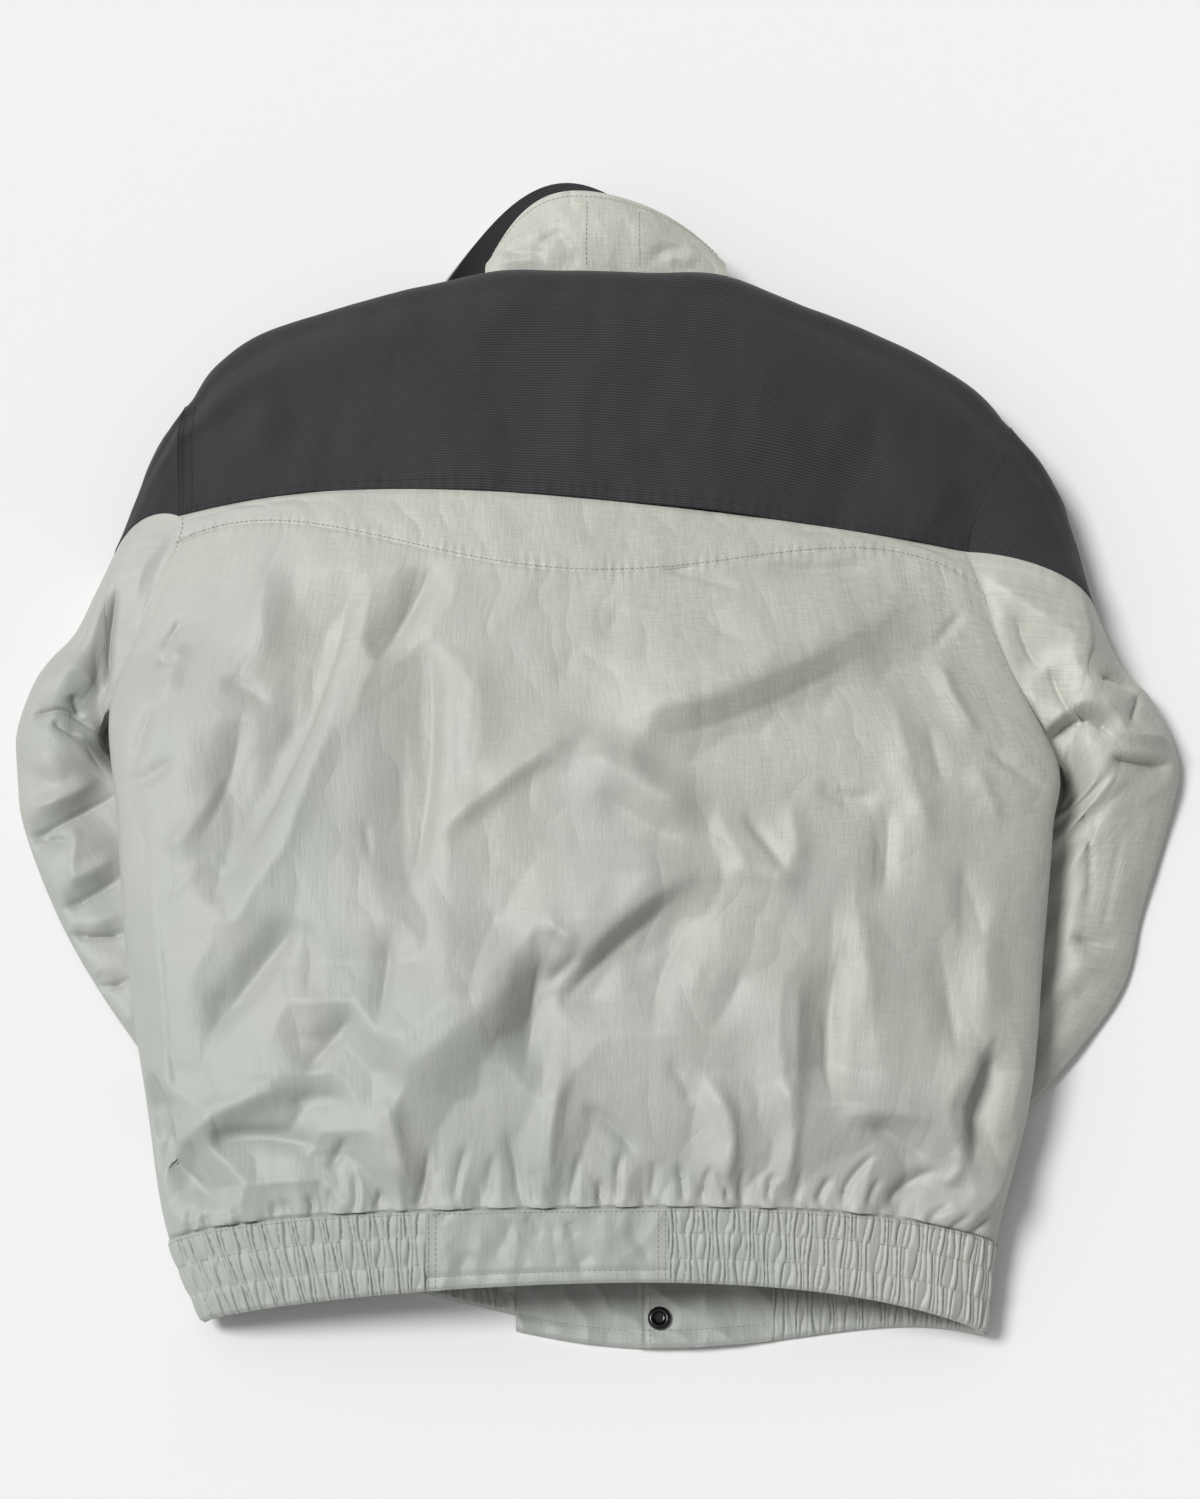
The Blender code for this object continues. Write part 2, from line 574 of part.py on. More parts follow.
def make_waistband(sage, collection):
    """The shirred and flat parts of the waistband, back and front."""
    waistband_back("waistband_back_left", None, BACK_TAB_LEFT, BACK_LEFT_RIBS, sage, collection)
    waistband_back("waistband_back_centre", BACK_TAB_LEFT, BACK_TAB_RIGHT, 0, sage, collection)
    waistband_back("waistband_back_right", BACK_TAB_RIGHT, None, BACK_RIGHT_RIBS, sage, collection)
    lap = WAISTBAND_WALL + SEAM_GAP
    waistband_front("waistband_front_left", None, FRONT_TAB_LEFT, FRONT_LEFT_RIBS, 0.0, ELASTIC_PULL,
                    sage, collection)
    waistband_front("waistband_tab_left", FRONT_TAB_LEFT, UNDERLAP_EDGE, 0, 0.0, 0.0, sage, collection)
    waistband_front("waistband_tab_right", LAP_EDGE, FRONT_TAB_RIGHT, 0, lap, 0.0, sage, collection)
    waistband_front("waistband_front_right", FRONT_TAB_RIGHT, None, FRONT_RIGHT_RIBS, lap, 0.0,
                    sage, collection)


def front_panel(name, rows, is_left, material, collection):
    """One piece of a front between two seams, from its side edge to its centre edge."""
    lap = 0.0 if is_left else WALL + SEAM_GAP
    share = np.linspace(0.0, 1.0, FRONT_COLUMNS + 1)
    share = share + FRONT_CROWDING * (1.0 - np.cos(share * math.pi / 2.0) - share)
    along = np.repeat(rows[:, None], FRONT_COLUMNS + 1, axis=1)
    if is_left:
        centre_turn = turn_at_x(along[:, :1], UNDERLAP_EDGE)
        turn = np.arccos(1.0 - (1.0 - np.cos(centre_turn)) * share)
    else:
        centre_turn = turn_at_x(along[:, :1], LAP_EDGE)
        turn = np.arccos(-1.0 + (1.0 + np.cos(centre_turn)) * share[::-1])
    normals = front_normals(turn, along, lap)
    along[0] += SEAM_GAP / 2.0
    along[-1] -= 0.0 if rows[-1] == SHOULDER_FOLD else SEAM_GAP / 2.0
    outer = front_surface(turn, along, lap)
    make_wall(name, outer, outer - normals * WALL, material, collection)


def make_fronts(sage, charcoal, collection):
    """The two fronts and their yokes."""
    body_rows = np.concatenate((BODY_ROWS, BAND_ROWS[1:]))
    for side, is_left in (("left", True), ("right", False)):
        front_panel(f"front_{side}", body_rows, is_left, sage, collection)
        front_panel(f"front_yoke_{side}", YOKE_ROWS, is_left, charcoal, collection)


def towards_middle(z, middle, inset):
    """Heights moved towards the middle of a tube by its wall, but never past it."""
    lift = z - middle
    return middle + np.sign(lift) * np.maximum(np.abs(lift) - inset, THINNEST_SHARE * np.abs(lift))


def armhole_ring(turn, is_left, inset):
    """The sleeve's first ring: round the armhole from the shoulder, down the back, up the front."""
    side_turn = np.zeros_like(turn) if is_left else np.full_like(turn, math.pi)
    place = -np.cos(turn)
    share = (1.0 + place) / 2.0
    along = armhole_along(share - place * inset / ARMHOLE_LENGTH, is_left)
    back = back_surface(side_turn, along)
    front = front_surface(side_turn, along)
    points = np.where((np.sin(turn) >= 0.0)[..., None], back, front)
    near_armpit = ramp((share - 1.0 + ARMPIT_SHARE) / ARMPIT_SHARE)
    outward = -1.0 if is_left else 1.0
    points[..., 0] += outward * (ARMHOLE_GAP + ARMPIT_CLEARANCE * near_armpit)
    over = np.clip(np.sin(turn), 0.0, 1.0) ** SLEEVE_TOP_ROUND
    below = np.clip(-np.sin(turn), 0.0, 1.0) ** SLEEVE_BOTTOM_ROUND
    armpit_z = ARMPIT_RING_Z + ARMPIT_RING_RISE * over - ARMPIT_RING_FALL * below
    points[..., 2] += (armpit_z - points[..., 2]) * near_armpit
    middle = (back[..., 2] + front[..., 2]) / 2.0
    middle = middle + (ARMPIT_RING_Z - middle) * near_armpit
    points[..., 2] = towards_middle(points[..., 2], middle, inset)
    return points


def armhole_along(share, is_left):
    """The place along the centre line that matches a share of the armhole's own height."""
    fine = np.linspace(ARMPIT, SHOULDER_FOLD, 400)
    row = rows_at(STATIONS, fine)
    height = row.y_left if is_left else row.y_right
    return np.interp(height[-1] + (height[0] - height[-1]) * share, height, fine)


def body_edge_x(y, is_left):
    """The x of the body's side edge or armhole seam at a given y."""
    fine = np.linspace(HEM_EDGE, SHOULDER_FOLD, 400)
    row = rows_at(STATIONS, fine)
    if is_left:
        return np.interp(y, row.y_left, row.left)
    return np.interp(y, row.y_right, row.right)


def sleeve_ring(ring, turn, is_left, folds, inset):
    """Points round one ring of a sleeve, from its outer edge over the top and back below."""
    place = -np.cos(turn)
    share = (1.0 + place) / 2.0
    run_x = ring.inner_x - ring.outer_x
    run_y = ring.inner_y - ring.outer_y
    x = ring.outer_x + run_x * share
    y = ring.outer_y + run_y * share
    edge = ring.outer_z + (ring.inner_z - ring.outer_z) * share
    outside = (body_edge_x(y, is_left) - x) * (1.0 if is_left else -1.0)
    dip = SLEEVE_UNDER_TOP + (ring.top_z - SLEEVE_UNDER_TOP) * ramp(outside / SLEEVE_PUFF_REACH)
    top = ring.top_z + (dip - ring.top_z) * ring.under
    height = np.sin(turn)
    over = np.clip(height, 0.0, 1.0)
    below = np.clip(-height, 0.0, 1.0)
    z = edge + (np.maximum(top, edge) - edge) * over**SLEEVE_TOP_ROUND - edge * below**SLEEVE_BOTTOM_ROUND
    fade = ramp(outside / SLEEVE_FOLD_SIDE) * ramp(over / SLEEVE_FOLD_RISE)
    z = z + fold_height(x, y, folds) * fade
    z = towards_middle(z, edge, inset)
    shift = place * inset / math.hypot(run_x, run_y)
    return np.stack((x - run_x * shift, y - run_y * shift, z), axis=-1)


def sleeve_surface(rings, turn, along, is_left, folds, inset=0.0):
    """The outer face of a sleeve, at a turn round it and a place along its rings, or its inner face."""
    loops = [armhole_ring(turn, is_left, inset)]
    loops += [sleeve_ring(ring, turn, is_left, folds, inset) for ring in rings]
    loops = np.stack(loops)
    last = len(loops) - 1
    row = np.clip(np.floor(along).astype(int), 0, last - 1)
    t = (along - row)[..., None]

    def loop(index):
        picked = np.clip(index, 0, last)[None, ..., None]
        return np.take_along_axis(loops, np.broadcast_to(picked, (1, *loops.shape[1:])), axis=0)[0]

    here = loop(row)
    there = loop(row + 1)
    leave = (there - loop(row - 1)) / np.where(row == 0, 1.0, 2.0)[..., None]
    arrive = (loop(row + 2) - here) / np.where(row + 1 == last, 1.0, 2.0)[..., None]
    points = (
        here * (2 * t**3 - 3 * t**2 + 1)
        + leave * (t**3 - 2 * t**2 + t)
        + there * (3 * t**2 - 2 * t**3)
        + arrive * (t**3 - t**2)
    )
    points[..., 2] = np.maximum(points[..., 2], 0.0)
    return points


def sleeve_inside(rings, turn, along, is_left, folds):
    """The inner face of a sleeve: square to the outer one, but drawn in by sections at its tips."""
    outer = sleeve_surface(rings, turn, along, is_left, folds)
    round_way = sleeve_surface(rings, turn + SLEEVE_STEP, along, is_left, folds)
    round_way = round_way - sleeve_surface(rings, turn - SLEEVE_STEP, along, is_left, folds)
    after = np.minimum(along + SLEEVE_STEP, float(len(rings)))
    before = np.maximum(along - SLEEVE_STEP, 0.0)
    long_way = sleeve_surface(rings, turn, after, is_left, folds)
    long_way = long_way - sleeve_surface(rings, turn, before, is_left, folds)
    square = outer - unit(np.cross(round_way, long_way)) * (-WALL if is_left else WALL)
    drawn_in = sleeve_surface(rings, turn, along, is_left, folds, WALL)
    past_armpit = ramp((along - ARMPIT_RINGS) / ARMPIT_RINGS)
    reach = ARMPIT_TIP_REACH + (TIP_REACH - ARMPIT_TIP_REACH) * past_armpit
    weight = ramp(along / ARMHOLE_BLEND) * ramp((1.0 + np.cos(turn)) / reach)
    return drawn_in + (square - drawn_in) * weight[..., None]


def armhole_turns(rows, is_left):
    """The turns round the sleeve at which the armhole crosses the given rows."""
    ends = rows_at(STATIONS, np.array([ARMPIT, SHOULDER_FOLD], float))
    row = rows_at(STATIONS, rows)
    height = row.y_left if is_left else row.y_right
    bottom, top = ends.y_left if is_left else ends.y_right
    return np.arccos(np.clip(1.0 - 2.0 * (top - height) / (top - bottom), -1.0, 1.0))


def cap_turn(along, cap_rings, is_left):
    """Half the turn that the charcoal cap covers at a place along the sleeve."""
    yoke_turn = armhole_turns(np.array([YOKE_EDGE], float), is_left)[0]
    share = (1.0 - math.cos(yoke_turn)) / 2.0 * np.clip(1.0 - along / cap_rings, 0.0, 1.0)
    return np.arccos(1.0 - 2.0 * share)


def make_sleeve(side, rings, cap_rings, folds, sage, charcoal, collection):
    """A sleeve with its cap let into a notch at the shoulder, and its cuff."""
    is_left = side == "left"
    cuff_seam = len(rings) - 1.0

    def add_tube(name, turn, along, material):
        outer = sleeve_surface(rings, turn, along, is_left, folds)
        inner = sleeve_inside(rings, turn, along, is_left, folds)
        make_wall(name, outer, inner, material, collection)

    cap_rows = np.array(CAP_ROWS) * cap_rings
    long_rows = np.linspace(cap_rings, cuff_seam, int((cuff_seam - cap_rings) * ROWS_PER_RING))
    rows = np.concatenate((cap_rows, long_rows))
    down = armhole_turns(ARMHOLE_ROWS[::-1], is_left)
    loop = np.concatenate((down, 2.0 * math.pi - down[-2::-1]))
    share = (loop - loop[0]) / (loop[-1] - loop[0])
    half = cap_turn(rows, cap_rings, is_left)[:, None]
    turn = half + (2.0 * math.pi - 2.0 * half) * share
    along = np.broadcast_to(rows[:, None], turn.shape)
    add_tube(f"sleeve_{side}", turn, along, sage)

    half = cap_turn(cap_rows, cap_rings, is_left)
    speed = sleeve_surface(rings, half + SLEEVE_STEP, cap_rows, is_left, folds)
    speed = speed - sleeve_surface(rings, half - SLEEVE_STEP, cap_rows, is_left, folds)
    speed = np.linalg.norm(speed, axis=-1) / (2.0 * SLEEVE_STEP)
    half = (half - ARMHOLE_GAP / speed)[:, None]
    down = armhole_turns(YOKE_ROWS[::-1], is_left)
    loop = np.concatenate((-down[:0:-1], down)) / down[-1]
    turn = half * loop
    along = np.broadcast_to(cap_rows[:, None], turn.shape)
    add_tube(f"sleeve_cap_{side}", turn, along, charcoal)

    rows = cuff_seam + np.array([CUFF_GAP_RINGS, 0.5, 1.0])
    turn = np.broadcast_to(2.0 * math.pi * share, (len(rows), len(share)))
    along = np.broadcast_to(rows[:, None], turn.shape)
    add_tube(f"cuff_{side}", turn, along, sage)


def collar_surface(stations, turn, along):
    """The outer face of a layer of the collar, from its neckline (0) to its free edge."""
    row = rows_at(stations, along, np.arange(len(stations), dtype=float))
    place = -np.cos(turn)
    rise = np.clip(np.sin(turn), 0.0, 1.0) ** row.roundness
    z = row.edge_z + (row.crown_z - row.edge_z) * rise
    return np.stack((row_x(row, place), row_y(row, place), z), axis=-1)


def collar_normals(stations, turn, along):
    """Outward directions of a layer of the collar."""
    across = collar_surface(stations, np.minimum(turn + NORMAL_TURN, math.pi), along)
    across = across - collar_surface(stations, np.maximum(turn - NORMAL_TURN, 0.0), along)
    upward = collar_surface(stations, turn, along + COLLAR_STEP)
    upward = upward - collar_surface(stations, turn, along - COLLAR_STEP)
    return unit(np.cross(across, upward))


def make_collar(sage, charcoal, collection):
    """The back of the collar, and the front of it below with its lining."""
    turns = side_spacing(COLLAR_COLUMNS)
    rows = np.linspace(0.0, len(COLLAR_ROWS) - 1.0, COLLAR_LINES)
    along = np.broadcast_to(rows[:, None], (len(rows), len(turns)))
    turn = np.broadcast_to(turns, along.shape)
    for name, stations, drop, material in (
        ("collar_back", COLLAR_ROWS, 0.0, sage),
        ("collar_lining", LINING_ROWS, 0.0, charcoal),
        ("collar_front", LINING_ROWS, COLLAR_LAYER, sage),
    ):
        normals = collar_normals(stations, turn, along)
        outer = collar_surface(stations, turn, along) - normals * drop
        make_wall(name, outer, outer - normals * WALL, material, collection)


def make_snap(black, collection):
    """A round snap turned from its profile, set on the right tab."""
    mesh = bpy.data.meshes.new("snap")
    edges = [(index, index + 1) for index in range(len(SNAP_PROFILE) - 1)]
    mesh.from_pydata([(radius * MM, 0.0, height * MM) for radius, height in SNAP_PROFILE], edges, [])
    snap = add_part("snap", mesh, black, collection)
    seat = 2.0 * (WAISTBAND_WALL + SEAM_GAP)
    snap.location = (SNAP_X * MM, SNAP_Y * MM, seat * MM)
    turned = snap.modifiers.new("Turned", "SCREW")
    turned.steps = SNAP_SIDES
    turned.render_steps = SNAP_SIDES
    turned.use_merge_vertices = True
    turned.merge_threshold = 0.00001
    return snap


def centre_on_origin(parts):
    """Parents the parts to an empty, so that the origin is under the middle of the garment."""
    corners = np.array([vertex.co for part in parts for vertex in part.data.vertices])
    middle = (corners.min(axis=0) + corners.max(axis=0)) / 2.0
    root = bpy.data.objects.new("parka_root", None)
    root.location = (-middle[0], -middle[1], 0.0)
    parts[0].users_collection[0].objects.link(root)
    for part in parts:
        part.parent = root


def main():
    for old in list(bpy.data.objects):
        bpy.data.objects.remove(old, do_unlink=True)
    collection = bpy.data.collections.new("parka")
    bpy.context.scene.collection.children.link(collection)
    sage = make_material("sage_nylon", SAGE, 0.45)
    charcoal = make_material("charcoal_ribbed_nylon", CHARCOAL, 0.7)
    black = make_material("black_snap_plastic", BLACK, 0.35)
    make_back(sage, charcoal, collection)
    make_waistband(sage, collection)
    make_fronts(sage, charcoal, collection)
    make_sleeve("left", LEFT_RINGS, LEFT_CAP_RINGS, LEFT_SLEEVE_FOLDS, sage, charcoal, collection)
    make_sleeve("right", RIGHT_RINGS, RIGHT_CAP_RINGS, RIGHT_SLEEVE_FOLDS, sage, charcoal, collection)
    make_collar(sage, charcoal, collection)
    make_snap(black, collection)
    centre_on_origin(list(collection.objects))


main()
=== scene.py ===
"""The looks of the parka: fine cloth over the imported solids, its sewing, its materials and the studio.

Sizes are millimetres on the garment's own plan, as in the part's source: the collar points along +Y,
the wearer's left is on -X and +Z is up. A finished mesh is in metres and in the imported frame.
"""
import math
from collections import namedtuple
from functools import partial

import bpy
import numpy as np
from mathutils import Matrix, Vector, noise


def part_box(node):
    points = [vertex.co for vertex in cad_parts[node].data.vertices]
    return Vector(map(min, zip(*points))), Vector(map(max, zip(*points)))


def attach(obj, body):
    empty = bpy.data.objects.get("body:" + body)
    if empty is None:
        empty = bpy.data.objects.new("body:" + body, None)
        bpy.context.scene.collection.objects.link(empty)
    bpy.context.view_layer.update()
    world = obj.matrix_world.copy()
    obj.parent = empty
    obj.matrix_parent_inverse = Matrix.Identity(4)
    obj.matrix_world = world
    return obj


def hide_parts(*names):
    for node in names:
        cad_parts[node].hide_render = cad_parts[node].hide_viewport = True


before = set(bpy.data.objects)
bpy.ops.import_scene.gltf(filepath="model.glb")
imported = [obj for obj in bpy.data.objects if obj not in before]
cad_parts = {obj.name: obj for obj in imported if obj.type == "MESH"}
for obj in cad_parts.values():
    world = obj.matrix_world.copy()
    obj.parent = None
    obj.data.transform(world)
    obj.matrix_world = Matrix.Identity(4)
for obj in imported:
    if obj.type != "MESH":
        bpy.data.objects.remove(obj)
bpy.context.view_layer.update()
snap_low, snap_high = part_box("snap")


def rows_of(kind, *rows):
    """A short table: each row of values under the names of its columns."""
    return tuple(kind(*row) for row in rows)


# Cloth and sewing
MM = 0.001
WALL = 2.4
WAISTBAND_WALL = 3.6
SEAM_GAP = 0.3
CLOTH_THICKNESS = 1.1
BAND_THICKNESS = 2.6
COLLAR_THICKNESS = 2.0
SHARP_ANGLE = 70.0
STITCH_PITCH = 3.4
STITCH_LENGTH = 2.5
STITCH_RADIUS = 0.42
STITCH_LIFTS = (-0.2, 0.15, -0.2)
STITCH_START = 0.5
Fabric = namedtuple("Fabric", "material slot")

# Body: rows across the garment, from the hem to the shoulder fold, as in the part's source
Station = namedtuple(
    "Station",
    "name left right y_left y_inner_left y_centre y_inner_right y_right "
    "edge_z opening crown_z roundness",
)
STATIONS = rows_of(
    Station,
    ("hem edge", -253, 246, -365, -352, -346, -349, -372, 15, 0, 56, 0.9),
    ("hem seam", -276, 254, -313, -302, -300, -300, -315, 21, 0, 66, 0.9),
    ("low back", -293, 277, -226, -232, -231, -232, -229, 33, 0, 82, 0.9),
    ("waist", -309, 290, -132, -143, -143, -140, -125, 39, 0, 92, 0.9),
    ("middle", -319, 299, -38, -50, -54, -54, -45, 43, 0, 95, 0.9),
    ("armpit", -327, 303, 42, 21, 14, 7, 5, 44, 0, 95, 1.0),
    ("low armhole", -309, 274, 92, 78, 68, 62, 66, 52, 28, 94, 1.6),
    ("band seam", -288, 257, 151, 147, 119, 134, 120, 57, 50, 92, 2.0),
    ("yoke edge", -285, 249, 172, 183, 174, 161, 146, 58, 53, 88, 2.0),
    ("yoke middle", -287, 269, 219, 263, 266, 252, 201, 56, 52, 82, 2.2),
    ("shoulder top", -288, 283, 244, 320, 331, 309, 228, 50, 44, 72, 3.0),
    ("shoulder roll", -289, 288, 263, 341, 352, 330, 248, 40, 28, 62, 5.0),
    ("shoulder fold", -290, 290, 270, 348, 359, 337, 255, 24, 0, 50, 6.0),
)
HEM_EDGE = STATIONS[0].y_centre
HEM_SEAM = STATIONS[1].y_centre
BAND_HEIGHT = HEM_SEAM - HEM_EDGE
LOW_BACK = STATIONS[2].y_centre
ARMPIT = STATIONS[5].y_centre
BAND_SEAM = STATIONS[7].y_centre
YOKE_EDGE = STATIONS[8].y_centre
SHOULDER_TOP = STATIONS[10].y_centre
SHOULDER_FOLD = STATIONS[12].y_centre

# Front, which lies on the floor and is lifted over the forearms
FRONT_HEM_EDGE_DROP = (2, -31, -24)
FRONT_HEM_SEAM_DROP = (4, -22, -18)
FRONT_ROLL_TURN = 0.5
NECK_DROP = 30.0
NECK_DROP_START = 250.0
NECK_HALF_WIDTH = 60.0
NECK_SHOULDER = 95.0
NECK_Z = 3.0
LAP_EDGE = 24.0
UNDERLAP_EDGE = 58.0
LAP_RAMP_START = 84.0
LAP_RAMP_END = 116.0
Forearm = namedtuple("Forearm", "elbow_x elbow_y cuff_x cuff_y elbow_reach cuff_reach")
FOREARMS = rows_of(
    Forearm,
    (-325, -15, -200, -225, 82, 46),
    (322, -20, 200, -240, 82, 46),
)
FOREARM_LIFT = 31.5
LIFT_RAMP = 45.0
LIFT_END_Y = -288.0
LIFT_END_RAMP = 32.0
FRONT_FLOOR_FADE = 12.0

# Waistband: shirred at the sides and flat at the centres. A part without an end runs to the side, and
# the elastic pulls one part up at its lower edge. Stitches lie at shares of the band's height.
BACK_TAB_LEFT = -110.0
BACK_TAB_RIGHT = 43.0
FRONT_TAB_LEFT = -54.0
FRONT_TAB_RIGHT = 110.0
WAISTBAND_LAP = WAISTBAND_WALL + SEAM_GAP
Part = namedtuple("Part", "node first_x last_x ribs is_back lap pull")
WAISTBAND = rows_of(
    Part,
    ("waistband_back_left", None, BACK_TAB_LEFT, 46, True, 0.0, 0.0),
    ("waistband_back_centre", BACK_TAB_LEFT, BACK_TAB_RIGHT, 0, True, 0.0, 0.0),
    ("waistband_back_right", BACK_TAB_RIGHT, None, 60, True, 0.0, 0.0),
    ("waistband_front_left", None, FRONT_TAB_LEFT, 38, False, 0.0, 9.0),
    ("waistband_tab_left", FRONT_TAB_LEFT, UNDERLAP_EDGE, 0, False, 0.0, 0.0),
    ("waistband_tab_right", LAP_EDGE, FRONT_TAB_RIGHT, 0, False, WAISTBAND_LAP, 0.0),
    ("waistband_front_right", FRONT_TAB_RIGHT, None, 36, False, WAISTBAND_LAP, 0.0),
)
RIB_HEIGHT = 2.3
RIB_CHANNELS = 3.0
PANEL_PAD = 1.2
PANEL_CREASES = 0.8
TAB_PAD = 1.6
BAND_ROLL = 1.6
BAND_ROLL_SHARE = 0.05
PANEL_STITCH = 0.17
TAB_STITCH = 0.2
TOP_STITCH = 0.95
RIB_STITCHES = (1.0 / 3.0, 2.0 / 3.0, TOP_STITCH)

# Lines of stitches: above the V seam and the yoke's lower edge, beside the armholes, at the ends of the
# waistband's centre panel, and beside the lap. Those of the collar are places on its own grid.
BAND_STITCH = 2.2
YOKE_STITCHES = (2.2, 8.2)
YOKE_SIDE_STITCHES = (2.5, 8.5)
BODY_SIDE_STITCHES = (3.0,)
SIDE_STITCH_START = 12.0
SIDE_STITCH_END = 8.0
PANEL_END_STITCHES = (2.0, 6.5)
LAP_STITCHES = (3.0, 8.0)
COLLAR_EDGE_STITCH = 1.86
COLLAR_MIDDLE_TURNS = (1.42, 1.87)
BACK_STITCH_MARGIN = 0.05
COLLAR_STITCH_MARGIN = 0.2

# Sunken lines along seams and stitches, with the place that each lies at
Groove = namedtuple("Groove", "place depth width")
BACK_GROOVES = rows_of(
    Groove, (BAND_SEAM, 0.5, 1.2), (BAND_SEAM + BAND_STITCH, 0.3, 1.0), (YOKE_EDGE, 1.0, 3.0),
)
YOKE_GROOVES = rows_of(Groove, *((YOKE_EDGE + stitch, 0.5, 1.0) for stitch in YOKE_STITCHES))
PANEL_GROOVE = Groove(HEM_EDGE + PANEL_STITCH * BAND_HEIGHT, 0.9, 1.6)
TAB_GROOVE = Groove(HEM_EDGE + TAB_STITCH * BAND_HEIGHT, 0.8, 1.6)
LAP_GROOVE = Groove(LAP_EDGE + 5.5, 0.9, 2.0)
BAND_SEAM_GROOVE = Groove(BAND_HEIGHT, 2.2, 1.0)

# Puckers along a line of stitches: their height, how far above the seam and in what reach they lie, and
# their pitch with the length in which it drifts
Pucker = namedtuple("Pucker", "height above reach pitch drift")
BAND_PUCKER = Pucker(0.35, 2.0, 6.0, 1.05, 17.0)
YOKE_PUCKER = Pucker(0.25, 5.0, 7.0, 1.3, 21.0)
PUCKER_SWAY = 2.0

# Sleeves: rings from the armhole to the cuff, each from the outer edge to the inner edge. They lie
# flatter than those of the solids, as the shading of the photograph asks for.
Ring = namedtuple("Ring", "outer_x outer_y inner_x inner_y outer_z inner_z top_z under")
LEFT_RINGS = rows_of(
    Ring,
    (-326, 168, -332.5, 39, 24, 30, 54, 0.5),
    (-350, 111, -335, 34, 22, 22, 48, 0.8),
    (-380, 68, -335, 25, 20, 16, 43, 0.9),
    (-392, 36, -325, 10, 19, 13, 40, 1.0),
    (-391, -1, -277, -27, 18, 12, 38, 1.0),
    (-384, -39, -240, -56, 17, 12, 37, 1.0),
    (-358, -100, -213, -92, 15, 12, 35, 1.0),
    (-326, -153, -189, -126, 14, 12, 31, 1.0),
    (-286, -207, -176, -162, 13, 12, 25, 1.0),
    (-258, -246, -152, -200, 12, 12, 24, 1.0),
)
RIGHT_RINGS = rows_of(
    Ring,
    (325, 161, 308.5, 2, 24, 30, 57, 0.1),
    (336, 121, 311, -2, 24, 24, 55, 0.2),
    (353, 77, 312, -8, 22, 19, 53, 0.4),
    (372, 57, 310, -17, 18, 15, 50, 0.6),
    (387, 27, 304, -27, 12, 13, 44, 0.9),
    (390, 0, 270, -50, 8, 12, 36, 1.0),
    (377, -46, 222, -78, 6, 12, 32, 1.0),
    (361, -93, 206, -102, 5, 12, 30, 1.0),
    (347, -141, 192, -122, 5, 12, 28, 1.0),
    (316, -184, 174, -147, 6, 12, 26, 1.0),
    (276, -228, 168, -178, 11, 12, 25, 1.0),
    (248, -260, 142, -212, 12, 12, 24, 1.0),
)
SLEEVE_BOTTOM_ROUND = 0.45
ARMHOLE_TOP_ROUND = 0.85
CAP_FADE = 0.25
CAP_TIP = 0.995
CAP_RISE = 0.4
SLEEVE_UPPER_Z = 14.0
SLEEVE_UPPER_RAMP = 10.0
SLEEVE_FLOOR_FADE = 8.0
ARMPIT_RING_Z = 33.0
ARMPIT_RING_RISE = 14.0
ARMPIT_RING_FALL = 15.0
ARMPIT_SHARE = 0.25

# Points in the grids of the pieces and along the lines that are measured or sewn, and the small steps
# that the direction of a cloth is measured with
Grid = namedtuple("Grid", "rows columns")
SLEEVE_GRID = Grid(261, 169)
CAP_GRID = Grid(61, 121)
CUFF_GRID = Grid(31, 161)
COLLAR_GRID = Grid(61, 141)
TAB_GRID = Grid(43, 121)
RIB_COLUMNS = 8
FRONT_COLUMNS = 101
SNAP_COLUMNS = 72
EDGE_POINTS = 400
TURN_POINTS = 800
LONG_LINE = 900
COLLAR_LINE = 500
PANEL_LINE = 400
MIDDLE_LINE = 300
COLLAR_UPRIGHT = 160
UPRIGHT_LINE = 120
SMALL_TURN = 0.001
SMALL_STEP = 0.01

# Collar: rows from the neckline to the free edge, some millimetres off those of the solids
COLLAR_ROWS = rows_of(
    Station,
    ("back base", -80, 86, 352.5, 354.5, 354.5, 352.5, 346.5, 42, 0, 48, 2.0),
    ("back stand", -80, 86, 366, 384, 387, 382, 362, 40, 0, 59, 2.0),
    ("back edge", -77, 84, 374, 417, 416, 403, 368, 34, 0, 56, 2.0),
)
LINING_ROWS = rows_of(
    Station,
    ("front base", -97, 88, 354, 334, 330.5, 328, 349, 10, 0, 8, 2.0),
    ("front stand", -103, 86, 362, 384, 388, 377, 361, 14, 0, 9, 2.0),
    ("front edge", -106, 84, 367, 431, 444, 412, 373, 19, 0, 15, 2.0),
)
COLLAR_LAYER = 2.8
COLLAR_EDGE = len(COLLAR_ROWS) - 1.0
COLLAR_EDGE_FADE = 0.2

# Places where the photograph's outline is fuller than the solids: a soft push on the plan
Push = namedtuple("Push", "x y reach shift_x shift_y")
PUSHES = rows_of(
    Push,
    (-240, 302, 48, -5, 8),
    (-70, 358, 30, 0, 3),
    (84, 350, 38, 2, 8),
    (-291, 268, 20, 5, -4),
    (-322, 215, 30, -3, 2),
    (291, 254, 22, -6, -4),
    (318, 200, 34, 5, 3),
)

# Snap on the right tab
SNAP_X = 38.0
SNAP_Y = -361.0
SNAP_CLEARANCE = 7.0
SNAP_RAMP = 8.0
SNAP_FOOT = np.array([(snap_low.x + snap_high.x) / 2.0, (snap_low.y + snap_high.y) / 2.0, snap_low.z])
SNAP_OUTLINE = (
    # radius, height
    (7.4, 0.0), (7.4, 1.5), (7.1, 2.4), (6.5, 3.0), (5.7, 3.4), (5.0, 3.4), (4.4, 3.1), (3.9, 2.5),
    (3.5, 1.9), (3.0, 1.65), (2.0, 1.6),
)

